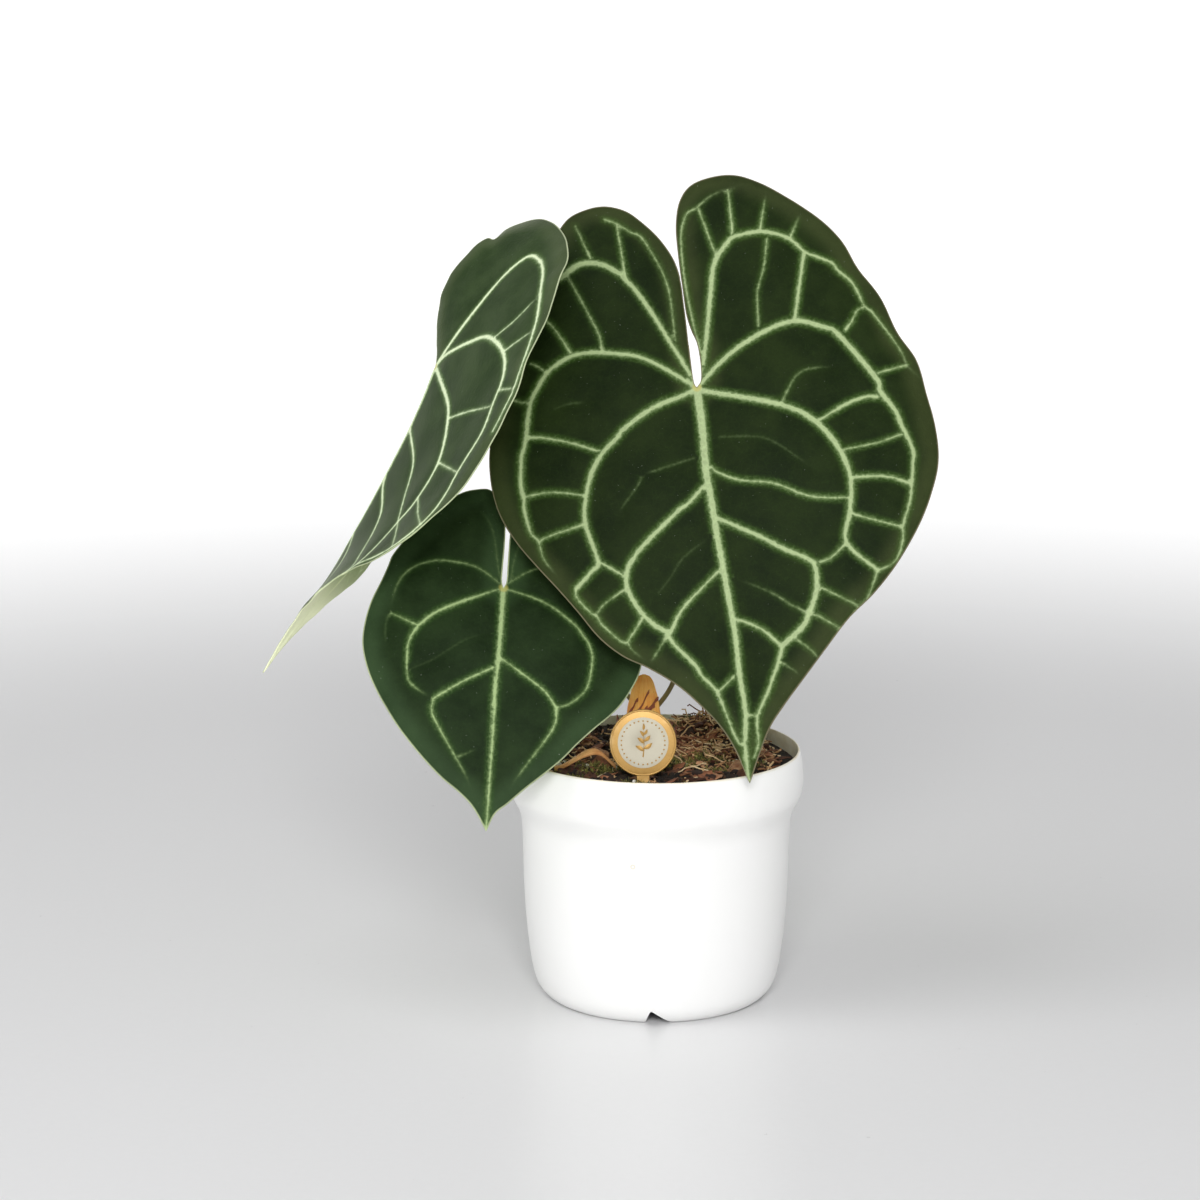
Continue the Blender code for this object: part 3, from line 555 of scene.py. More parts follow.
def tuft():
    """A moss shoot: a bent stem with narrow leaves around it."""
    points = []
    faces = []
    for k in range(9):
        turn = 2.4 * k
        low = Vector((0, 0, 0.1 * k))
        out = Vector((math.cos(turn), math.sin(turn), 0))
        side = Vector((-out.y, out.x, 0)) * 0.07
        tip = low + out * 0.42 + Vector((0, 0, 0.38))
        n = len(points)
        points += [low - side, low + side, low + out * 0.22 + side + Vector((0, 0, 0.12)),
                   tip, low + out * 0.22 - side + Vector((0, 0, 0.12))]
        faces += [(n, n + 1, n + 2, n + 4), (n + 4, n + 2, n + 3)]
    return mesh_object("tuft", points, faces, scale=1)


def tinted_finish(name, stops, rough, scale, depth):
    """A dull natural material: each copy has its own tone from the stops, with finer mottling."""
    mat = Finish(name)
    mottle = mat.speckle(scale, 4)
    tone = mat.ramp(stops, mat.layer("tint").out("Fac") * 0.75 + mottle * 0.5 - 0.12)
    return mat.done(Base_Color=tone, Roughness=rough + mottle * 0.15,
                    Normal=mat.ridges(mat.speckle(scale * 3, 3), 0.6, depth))


coir = tinted_finish("coir_fibre", [
    (0.05, (0.035, 0.014, 0.007)), (0.25, (0.19, 0.07, 0.03)), (0.5, (0.50, 0.27, 0.12)),
    (0.75, (0.72, 0.50, 0.27)), (1.0, (0.82, 0.67, 0.43))], 0.6, 500, 0.0002)
bark = tinted_finish("bark_chip", [
    (0.1, (0.018, 0.008, 0.005)), (0.45, (0.10, 0.035, 0.018)), (0.75, (0.30, 0.11, 0.05)),
    (1.0, (0.70, 0.42, 0.24))], 0.75, 420, 0.0005)
crumb = tinted_finish("dark_crumb", [
    (0.1, (0.005, 0.003, 0.002)), (0.55, (0.022, 0.011, 0.006)), (0.82, (0.09, 0.042, 0.018)),
    (1.0, (0.32, 0.18, 0.09))], 0.8, 900, 0.0003)
moss = tinted_finish("moss", [
    (0.05, (0.022, 0.024, 0.005)), (0.4, (0.085, 0.090, 0.014)), (0.75, (0.24, 0.22, 0.05)),
    (1.0, (0.46, 0.40, 0.14))], 0.7, 700, 0.0002)
perlite = tinted_finish("perlite", [
    (0.0, (0.55, 0.50, 0.42)), (0.5, (0.80, 0.77, 0.70)), (1.0, (0.88, 0.87, 0.84))], 0.7, 1500, 0.0003)

bit_sources = [lump("chip", 0.32, 0.9, 1.7, 2), lump("crumb", 0.8, 0.8, 4.1, 1),
               lump("grain", 0.9, 0.5, 7.7, 2), tuft()]
strewings = [
    bits.grow("Bark_chips", surface.copy(), Where="chip", Kind=bit_sources[0], Density=30000.0, Seed=3,
              Least=0.0024, Most=0.0080, Tilt=0.5, Lift=0.0004, Finish=bark),
    bits.grow("Crumbs", surface.copy(), Where="crumb", Kind=bit_sources[1], Density=210000.0, Seed=8,
              Least=0.0008, Most=0.0028, Tilt=1.0, Lift=0.0002, Finish=crumb),
    bits.grow("Perlite", surface.copy(), Where="grain", Kind=bit_sources[2], Density=3800.0, Seed=21,
              Least=0.0012, Most=0.0026, Tilt=1.0, Lift=0.0007, Finish=perlite),
    bits.grow("Moss", surface.copy(), Where="moss", Kind=bit_sources[3], Density=900000.0, Seed=5,
              Least=0.0012, Most=0.0034, Tilt=0.6, Lift=0.0, Finish=moss),
    fibres.grow("Coir_long", surface.copy(), Where="long", Density=95000.0, Seed=11, Length=0.019,
                Radius=0.00030, Curl=0.009, Finish=coir),
    fibres.grow("Coir_short", surface.copy(), Where="fibre", Density=150000.0, Seed=29, Length=0.009,
                Radius=0.00046, Curl=0.004, Finish=coir),
]
for source in bit_sources:
    bpy.data.objects.remove(source, do_unlink=True)
for piece in strewings:
    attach(piece, "root")


# Rootstock and sheaths
# A short woody stem, ringed with leaf scars, carries the stalks in sockets. A papery orange sheath
# stands beside it, the torn fibres of older ones wrap round its foot, and strips of them cross it.

def around_stock(radius, angle, z):
    """A point and its outward direction on a ring around the rootstock."""
    out = np.array([math.cos(angle), math.sin(angle), 0])
    return np.array([STOCK_X, STOCK_Y, z]) + out * radius, out


def seat(radius, angle):
    """Height just above the mix on a ring around the rootstock."""
    return mix_height(STOCK_X + radius * math.cos(angle), STOCK_Y + radius * math.sin(angle)) + 0.5


def sheet(name, place, rows, columns, thick, finish):
    """A thin closed sheet from place(u, v), which gives a point, its outward side and its thickness."""
    front = []
    back = []
    for j in range(rows + 1):
        for i in range(columns + 1):
            spot, out, share = place(i / columns, j / rows)
            front.append(spot + out * thick / 2 * share)
            back.append(spot - out * thick / 2 * share)
    wide = columns + 1
    count = len(front)
    faces = []
    for a in [j * wide + i for j in range(rows) for i in range(columns)]:
        b, c, d = a + 1, a + wide + 1, a + wide
        faces += [(a, b, c, d), (d + count, c + count, b + count, a + count)]
    border = [*range(wide), *range(2 * wide - 1, wide * (rows + 1), wide)]
    border += [*range(wide * (rows + 1) - 2, wide * rows - 1, -1), *range(wide * (rows - 1), 0, -wide)]
    faces += [(b, a, a + count, b + count) for a, b in zip(border, border[1:] + border[:1])]
    piece = mesh_object(name, front + back, faces, finish)
    uv = piece.data.uv_layers.new(name="sheet")
    for loop in piece.data.loops:
        k = loop.vertex_index % count
        uv.data[loop.index].uv = (k % wide / columns, k // wide / rows)
    piece.data.shade_smooth()
    face_outwards(piece)
    return piece


def husk_finish(name, stops, lines, strength, **constants):
    """Dry papery tissue with fibres running along it and blotches across."""
    mat = Finish(name, **constants)
    along = mat.node("ShaderNodeUVMap", {"uv_map": "sheet"})
    fibre = mat.speckle(1.0, 5, 0.65, mat.vectors("MULTIPLY", along, (lines, 1.3, 1)))
    blotch = mat.speckle(170, 4)
    tone = mat.ramp(stops, fibre * 0.6 + blotch * 0.55 - 0.06)
    dots = mat.speckle(1100, 2).rise(0.68, 0.76)
    tone = mat.blend(dots * 0.5, tone, (0.10, 0.035, 0.012))
    grain = mat.ridges(fibre, strength, 0.0006)
    return mat.done(Base_Color=tone, Roughness=0.45 + blotch * 0.3, Normal=grain)


def tall_sheath(u, v):
    """The orange sheath: wide at its foot, pointed at its top, its free edges a little ragged."""
    spread = math.radians(58) * (1 - v) ** 0.42 + math.radians(3)
    ragged = 1 + 0.05 * noise.noise(Vector((v * 9, round(u) * 7, 2)))
    angle = math.radians(-103 + 6 * v) + (2 * u - 1) * spread * ragged
    foot = seat(9.0, angle)
    bulge = 0.5 * math.sin(math.pi * v) + 0.22 * math.sin(u * 34) * (1 - v)
    bulge += 0.25 * noise.noise(Vector((u * 4, v * 5, 0)))
    spot, out = around_stock(9.0 + bulge, angle, foot + (134.5 - foot) * v)
    return spot, out, 1 - 0.55 * max(abs(2 * u - 1) ** 6, v ** 8)


def wrap_sheath(u, v):
    """The fibrous remains wrapped round the rootstock, with a torn upper edge."""
    angle = math.radians(-250 + 320 * u)
    torn = 10.5 + 4 * math.cos(angle - math.radians(-150))
    torn += (1.8 * math.sin(9 * angle) + 1.2 * math.sin(4 * angle + 1)
             + 1.6 * v * noise.noise(Vector((u * 60, 0, 9))))
    ripple = 0.35 * noise.noise(Vector((u * 45, v * 2.5, 0)))
    radius = 11.6 + 0.8 * math.sin(5 * angle) * v + ripple
    spot, out = around_stock(radius, angle, seat(11.6, angle) + torn * v)
    return spot, out, 1 - 0.5 * v ** 4


orange = husk_finish("orange_sheath", [
    (0.2, (0.40, 0.10, 0.02)), (0.38, (0.88, 0.32, 0.05)), (0.58, (0.98, 0.52, 0.12)),
    (0.85, (0.98, 0.76, 0.36))], 22.0, 0.5,
    Subsurface_Weight=0.12, Subsurface_Radius=(0.004, 0.0016, 0.0006), Subsurface_Scale=0.6)
rust = husk_finish("old_sheath", [
    (0.2, (0.035, 0.010, 0.006)), (0.5, (0.16, 0.045, 0.02)), (0.75, (0.34, 0.12, 0.05)),
    (1.0, (0.58, 0.32, 0.17))], 70.0, 0.9)
tall = sheet("Sheath_tall", tall_sheath, 48, 36, 0.8, orange)
wrap = sheet("Sheath_wrap", wrap_sheath, 16, 220, 0.9, rust)
strips = husk_finish("torn_strips", [
    (0.2, (0.09, 0.020, 0.010)), (0.5, (0.33, 0.085, 0.035)), (0.75, (0.58, 0.22, 0.09)),
    (1.0, (0.85, 0.50, 0.26))], 9.0, 0.7)
shreds = []
for k, (start, sweep, high, fall) in enumerate([(-62, -95, 25, 20), (-72, -90, 21, 16), (-84, -75, 27, 20),
                                                (-55, -70, 17, 12), (-100, -80, 17, 13), (-88, -60, 23, 16),
                                                (-76, -100, 15, 11), (-108, -50, 24, 17)]):
    def shred(u, v):
        """One torn strip that slants down across the foot of the tall sheath."""
        angle = math.radians(start + sweep * v)
        drop = (high - fall * v + 1.4 * math.sin(5 * v + k) + (2 * u - 1) * (0.75 - 0.5 * v)
                + 0.4 * math.sin(23 * v))
        radius = 10.2 + 0.12 * k + 2.2 * ease(1.5 * v) + 0.3 * math.sin(7 * v + 2 * k)
        spot, out = around_stock(radius, angle, seat(12, angle) + drop)
        return spot, out, 1 - 0.4 * abs(2 * u - 1)

    shreds.append(sheet(f"Sheath_shred_{k}", shred, 26, 4, 0.45, strips))
for piece in shreds:
    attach(piece, "root")
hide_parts("sheath_tall")
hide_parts("sheath_wrap")


def stem_finish(name, stops, rough, strength):
    """Waxy stem skin: fine length-wise streaks, pores, and a slow change of tone."""
    mat = Finish(name)
    streak = mat.speckle(900, 4, 0.6, mat.vectors("MULTIPLY", mat.place, (1, 1, 0.12)))
    slow = mat.speckle(45, 3)
    tone = mat.ramp(stops, slow * 0.75 + streak * 0.3)
    pores = mat.speckle(1700, 2).rise(0.66, 0.75)
    tone = mat.blend(pores * 0.6, tone, (0.36, 0.27, 0.14))
    return mat.done(Base_Color=tone, Roughness=rough + streak * 0.2,
                    Normal=mat.ridges(streak, strength, 0.0004))


woody = stem_finish("stock_bark", [
    (0.2, (0.035, 0.018, 0.010)), (0.6, (0.14, 0.075, 0.035)), (0.9, (0.27, 0.17, 0.09))], 0.75, 0.9)
stock_line = [(0.0, 74.0)] + [(7.4 * min(1, 0.8 + 0.2 * (z - 74) / 14, 1 - 0.1 * max(0, z - 102) / 12)
                               + (0.45 * abs(math.sin((z - 74) * 0.62)) - 0.3) * min(1, (114 - z) / 3), z)
                              for z in np.arange(74, 113.6, 0.6)] + [(6.1, 113.8), (5.4, 114.0), (0, 114.0)]
stock = turned_piece("Rootstock", stock_line, 72, woody)
stock.data.transform(Matrix.Translation((STOCK_X * 0.001, STOCK_Y * 0.001, 0)))
STALK_FEET = [(-0.6, 0.8), (-7.4, 1.4), (-4.2, 7.0)]
carve(stock, [rod(foot, 2.22, 108.7, 117, 24) for foot in STALK_FEET])
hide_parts("rootstock")
for piece in (tall, wrap, stock):
    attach(piece, "root")


# Leaf stalks
# Three round stalks stand in sockets on the rootstock, and each swells to a knuckle behind its blade.
# A stalk is one tube along its path, and the path ends in the frame of the leaf that it carries.

FULL_LENGTH = 159.3
REACH = 175


def frames_along(leaf):
    """Position, facing and side at each millimetre, REACH of them along a midrib and behind it."""
    along = Vector(leaf["along"]).normalized()
    facing = Vector(leaf["facing"])
    facing = (facing - along * facing.dot(along)).normalized()
    side = facing.cross(along)
    length = leaf["length"] * leaf["size"]

    def heading(b):
        arch = leaf["arch"][0 if b > 0 else 1] * b
        sway = leaf["sway"] * b / length if b > 0 else 0.0
        ahead = math.cos(arch) * along - math.sin(arch) * facing
        out = math.sin(arch) * along + math.cos(arch) * facing
        return ahead * math.cos(sway) + side * math.sin(sway), out

    frames = {}
    for way in (1, -1):
        spot = Vector(leaf["start"])
        last = heading(0)[0]
        for b in range(0, way * (REACH + 1), way):
            ahead, out = heading(b)
            spot = spot + (ahead + last) * 0.5 * (way if b else 0)
            last = ahead
            out = (out - ahead * out.dot(ahead)).normalized()
            frames[b] = (*spot, *out, *out.cross(ahead))
    return np.array([frames[b] for b in range(-REACH, REACH + 1)])


def profile_at(profile, t):
    """Smooth values at t through a short list of (place, value)."""
    place, value = np.array(profile, float).T
    t = np.clip(t, place[0], place[-1])
    lows = np.maximum(np.arange(len(place)) - 1, 0)
    highs = np.minimum(np.arange(len(place)) + 1, len(place) - 1)
    slope = (value[highs] - value[lows]) / (place[highs] - place[lows])
    k = np.clip(np.searchsorted(place, t, side="right") - 1, 0, len(place) - 2)
    h = place[k + 1] - place[k]
    u = (t - place[k]) / h
    return ((2 * u ** 3 - 3 * u ** 2 + 1) * value[k] + (u ** 3 - 2 * u ** 2 + u) * h * slope[k]
            + (3 * u ** 2 - 2 * u ** 3) * value[k + 1] + (u ** 3 - u ** 2) * h * slope[k + 1])


# A leaf's midrib begins at start, runs along and faces facing. It arches by an angle a millimetre
# towards its tip and its lobes, and sways. Each half folds by the angles given along the midrib.
FRONT = dict(length=FULL_LENGTH, size=1.0, lobe=1.0, start=(15.6, -6.0, 250.9),
             along=(0.115, -0.501, -0.858), facing=(-0.074, -0.866, 0.495), arch=(0.0022, 0.0012),
             sway=0.0, droop=-0.0035, taper=0.0,
             right=[(0, 0.10), (1, 0.10)], left=[(0, -0.10), (1, -0.10)])
LOW = dict(length=99.0, size=1.0, lobe=1.0, start=(-61.1, -20.0, 172.7), along=(-0.054, -0.591, -0.805),
           facing=(0.054, -0.806, 0.589), arch=(0.0030, 0.0020), sway=0.0, droop=-0.0055, taper=0.0,
           right=[(0, 0.08), (1, 0.08)], left=[(0, -0.08), (1, -0.08)])
SIDE = dict(length=FULL_LENGTH, size=0.888, lobe=0.81, start=(-88.5, 12.8, 256.6),
            along=(-0.3663, -0.169, -0.915), facing=(-0.0372, -0.9799, 0.1959), arch=(0.0, 0.0091),
            sway=-0.29, droop=0.0002, taper=0.49,
            right=[(-0.55, 0.70), (-0.2, 0.94), (0, 1.04), (0.35, 1.14), (0.6, 1.32), (0.8, 1.66),
                   (1, 2.12)],
            left=[(-0.55, 1.75), (-0.2, 1.71), (0, 1.68), (0.35, 1.69), (0.6, 1.76), (0.8, 1.93), (1, 1.73)])

tubes = Growth("tube along a path", Sides="Int", Finish="Material")
line = tubes.node("GeometryNodeMeshToCurve", {}, {"Mesh": tubes.entry.out("Geometry")})
width = tubes.node("GeometryNodeInputNamedAttribute", {"data_type": "FLOAT"}, {"Name": "width"})
line = tubes.node("GeometryNodeSetCurveRadius", {}, {"Curve": line, "Radius": width})
ring = tubes.node("GeometryNodeCurvePrimitiveCircle", {}, {
    "Resolution": tubes.entry.out("Sides"), "Radius": 0.001})
skin = tubes.node("GeometryNodeCurveToMesh", {}, {"Curve": line, "Profile Curve": ring, "Fill Caps": True})
tubes.end(tubes.node("GeometryNodeSetShadeSmooth", {}, {"Geometry": skin}))


def tube(name, path, widths, sides, finish):
    """A tube along a path, its radius going smoothly through the widths, one for each point."""
    line = smooth_line([(*p, w) for p, w in zip(path, widths)], 1.2)
    guide = bpy.data.meshes.new(name)
    guide.from_pydata([tuple(p) for p in line[:, :3] * 0.001],
                      [(k, k + 1) for k in range(len(line) - 1)], [])
    keep_values(guide, "width", line[:, 3])
    return tubes.grow(name, guide, Sides=sides, Finish=finish)


def stalk(name, leaf, foot, path, behind, finish):
    """A leaf stalk from its socket to just behind its blade."""
    frames = frames_along(leaf)[REACH]
    turn = (profile_at(leaf["right"], 0) + profile_at(leaf["left"], 0)) / 2
    facing = frames[3:6] * math.cos(turn) - frames[6:9] * math.sin(turn)
    size = (leaf["length"] * leaf["size"] / FULL_LENGTH) ** 0.5
    route = [(*foot, z) for z in (109, 114, 118)] + list(path)
    route += [tuple(frames[:3] - facing * (behind + back * size)) for back in (9, 4, -0.3)]
    widths = [1.93] * 3 + [1.75] * (len(path) - 1) + [1.62]
    widths += [1.75 * swell * size for swell in (1.25, 1.35, 1.25)]
    return tube(name, route, widths, 20, finish)


olive = stem_finish("stalk_skin", [
    (0.15, (0.13, 0.055, 0.028)), (0.4, (0.20, 0.135, 0.05)), (0.65, (0.20, 0.20, 0.075)),
    (0.9, (0.30, 0.27, 0.12))], 0.38, 0.25)
stalks = [
    stalk("Petiole_front", FRONT, STALK_FEET[0],
          [(6.8, 0, 130), (14, 3, 155), (19, 6, 190), (20, 7, 222)], 1.7, olive),
    stalk("Petiole_low", LOW, STALK_FEET[1],
          [(-12, 4, 124), (-27, 5, 143), (-45, 1, 158), (-56, -5, 163)], 1.6, olive),
    stalk("Petiole_side", SIDE, STALK_FEET[2],
          [(-9, 14, 132), (-24, 26, 165), (-42, 30, 202), (-60, 26, 233), (-73, 18, 248)], 2.2, olive),
]
for piece, node in zip(stalks, ("petiole_front", "petiole_low", "petiole_side")):
    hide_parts(node)
    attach(piece, "root")


# Leaf blades
# Heart-shaped velvet blades: near-black green panels between raised pale veins on the face, a thin
# coloured margin, and a pale underside with proud ribs. Each is a fine net with its veins drawn in it.

def blade_points(leaf, way, a, b):
    """Points of the middle sheet for places across (a) and along (b) one half of the blade."""
    frames = frames_along(leaf)
    length = leaf["length"] * leaf["size"]
    a = a * leaf["size"] * (1 - leaf["taper"] * ease((b / leaf["length"] - 0.5) / 0.35))
    b = b * leaf["size"] * np.where(b < 0, leaf["lobe"], 1)
    at = np.stack([np.interp(b, np.arange(-REACH, REACH + 1), column) for column in frames.T], 1)
    turn = profile_at(leaf["right" if way > 0 else "left"], b / length)
    end = turn + way * leaf["droop"] * a
    reach = (np.sin(end) - np.sin(turn)) / leaf["droop"]
    lift = (np.cos(turn) - np.cos(end)) / leaf["droop"]
    return at[:, :3] + at[:, 6:9] * reach[:, None] + at[:, 3:6] * lift[:, None]


def nearest(points, line):
    """Distance from each point to a line, and the share of its length where the line is nearest."""
    step = np.diff(line, axis=0)
    gap = points[:, None] - line[None, :-1]
    t = np.clip((gap * step).sum(2) / (step ** 2).sum(1), 0, 1)
    far = np.linalg.norm(gap - t[:, :, None] * step, axis=2)
    k = far.argmin(1)
    pick = np.arange(len(points))
    return far[pick, k], (k + t[pick, k]) / len(step)


def inside(points, border):
    """Which points lie within a closed border."""
    odd = np.zeros(len(points), bool)
    for q, r in zip(border, np.roll(border, -1, 0)):
        if q[1] != r[1]:
            meets = q[0] + (points[:, 1] - q[1]) * (r[0] - q[0]) / (r[1] - q[1])
            odd ^= ((q[1] > points[:, 1]) != (r[1] > points[:, 1])) & (points[:, 0] < meets)
    return odd


def half_blade(leaf, way, net):
    """One half's net in the template: its points, triangles and outline points."""
    edge = smooth_line(leaf["edges"][0 if way > 0 else 1], net * 0.8)
    steps = round(leaf["length"] / net)
    rib = np.linspace(leaf["length"], 0, steps + 1)[1:-1]
    border = np.vstack([edge, np.stack([np.zeros(steps - 1), rib], 1)])
    lines = [smooth_line(line, net) for *_, line in leaf["veins"][0 if way > 0 else 1]]
    bent = smooth_line(leaf["midrib"][-1], net) * (way, 1)
    if (bent[:, 0] > 0.45).any():
        lines.append(bent[bent[:, 0] > 0.45])
    # Rows of an even triangle net, over more than any half covers: -95 to 165 along, -22 to 100 across.
    grid = np.array([(col * net + (row % 2) * net / 2, row * net * 0.866)
                     for row in range(int(-95 / net), int(165 / net / 0.8))
                     for col in range(int(-22 / net), int(100 / net))])
    grid = grid[inside(grid, border)]
    lines = [line[inside(line, border) & (nearest(line, edge)[0] > 0.5)] for line in lines]
    lines = [line for line in lines if len(line) > 2]
    for line in [np.vstack([border, border[:1]]), *lines]:
        grid = grid[nearest(grid, line)[0] > net * 0.55]
    points = [*border]
    joins = [(k, (k + 1) % len(border)) for k in range(len(border))]
    for line in lines:
        joins += [(len(points) + k, len(points) + k + 1) for k in range(len(line) - 1)]
        points += [*line]
    points += [*grid]
    made, _, faces, _, _, _ = delaunay_2d_cdt([Vector(p) for p in points], joins,
                                              [list(range(len(border)))], 1, 0.05)
    return np.array([tuple(p) for p in made]), faces, edge


def vein_fields(leaf, way, points, edge):
    """For each point: clear space to the nearest vein, its paleness, rib height, and space to the margin."""
    clear = np.full(len(points), 99.0)
    pale = np.zeros(len(points))
    rib = np.zeros(len(points))
    for *spec, line in [leaf["midrib"], *leaf["veins"][0 if way > 0 else 1]]:
        signed = points * (way, 1) if line is leaf["midrib"][-1] else points
        far, share = nearest(signed, smooth_line(line, 1.5))
        width = np.interp(share, (0, 0.5, 1), spec[:3])
        tone = np.interp(share, (0, 1), spec[3:])
        if spec[4] < 0.5:
            tone = tone * (1 - 0.9 * ease((share - 0.7) / 0.3))
        near = far - width < clear
        pale = np.where(near, tone, pale)
        clear = np.where(near, far - width, clear)
        rib = np.maximum(rib, np.minimum(width, 1.6) * np.exp(-(far / (width + 0.35)) ** 2))
    margin = nearest(points, edge)[0]
    return clear, pale, rib, margin


# Millimetres: half a blade's thickness, then how far veins and puffed panels move its two faces.
HALF_THICK = 0.40
FACE_VEIN, BACK_VEIN = 0.26, 0.42
FACE_PUFF, BACK_PUFF = 0.38, 0.25
ROLLED_LIP = 1.5


def blade(name, leaf, net, finish):
    """A closed blade: front and back sheets with their own relief, joined by a rounded rim."""
    parts = []
    for way in (1, -1):
        template, faces, edge = half_blade(leaf, way, net)
        parts.append((way, template, faces, *vein_fields(leaf, way, template, edge)))
    weld = {}
    sheet_points = []
    sheet_faces = []
    layers = []
    for way, template, faces, clear, pale, rib, margin in parts:
        spots = blade_points(leaf, way, template[:, 0], template[:, 1])
        index = []
        for k, (a, b) in enumerate(template):
            key = round(b, 3) if abs(a) < 1e-6 and b > -1e-6 else None
            if key is not None and key in weld:
                index.append(weld[key])
                continue
            if key is not None:
                weld[key] = len(sheet_points)
            index.append(len(sheet_points))
            sheet_points.append(spots[k])
            layers.append((clear[k], pale[k], rib[k], margin[k], a * way, b))
        for face in faces:
            corners = [index[k] for k in (face if way < 0 else reversed(face))]
            if len(set(corners)) == 3:
                sheet_faces.append(corners)
    sheet_points = np.array(sheet_points)
    clear, pale, rib, margin, a, b = np.array(layers).T
    mesh = bpy.data.meshes.new("sheet")
    mesh.from_pydata([tuple(p) for p in sheet_points], [], sheet_faces)
    normal = np.array([n.vector for n in mesh.vertex_normals])
    sway = np.array([noise.noise(Vector((p / 24, q / 24, leaf["length"]))) for p, q in zip(a, b)]) * 0.7
    ruffle = np.array([noise.noise(Vector((p / 11, q / 11, 7.0))) for p, q in zip(a, b)])
    sway += ruffle * 0.55 * np.exp(-margin / 9)
    strip = (a > -1) * (b < -6) * ease((3.2 - np.hypot(a, 0)) / 3.4) * ease((-6 - b) / 10) * leaf["rolled"]
    middle = sheet_points + normal * (sway - ROLLED_LIP * strip)[:, None]
    puff = 1 - np.exp(-np.maximum(clear, 0) / 3.5)
    body = HALF_THICK * (0.45 + 0.55 * ease(margin / 2.2))
    front = middle + normal * (body + FACE_VEIN * rib + FACE_PUFF * puff * ease(margin / 6))[:, None]
    back = middle - normal * (body + BACK_VEIN * rib - BACK_PUFF * puff * ease(margin / 6))[:, None]
    count = len(middle)
    uses = {}
    for corners in sheet_faces:
        for p, q in zip(corners, corners[1:] + corners[:1]):
            uses[(p, q)] = True
    border = [(p, q) for p, q in uses if (q, p) not in uses]
    rims = {p: k + 2 * count for k, p in enumerate(sorted({p for pair in border for p in pair}))}
    outward = {}
    for p, q in border:
        step = sheet_points[q] - sheet_points[p]
        push = np.cross(step, (normal[p] + normal[q]) / 2)
        push = push / max(np.linalg.norm(push), 1e-9)
        for end in (p, q):
            outward[end] = outward.get(end, 0) + push
    rim = [middle[p] + outward[p] / max(np.linalg.norm(outward[p]), 1e-9) * 0.12 for p in rims]
    faces = [tuple(corners) for corners in sheet_faces]
    faces += [tuple(k + count for k in reversed(corners)) for corners in sheet_faces]
    for p, q in border:
        faces += [(q, p, rims[p], rims[q]), (rims[q], rims[p], p + count, q + count)]
    piece = mesh_object(name, [*front, *back, *rim], faces, finish)
    order = np.array([*range(count), *range(count), *rims])
    keep_values(piece.data, "clear", clear[order])
    keep_values(piece.data, "pale", pale[order])
    keep_values(piece.data, "margin", margin[order])
    keep_values(piece.data, "face", np.array([1.0] * count + [0.0] * count + [0.6] * len(rims)))
    template = np.stack([a[order], b[order], np.zeros(len(order))], 1) * 0.001
    layer = piece.data.attributes.new("template", "FLOAT_VECTOR", "POINT")
    layer.data.foreach_set("vector", template.astype(np.float32).ravel())
    piece.data.shade_smooth()
    bpy.data.meshes.remove(mesh)
    return piece


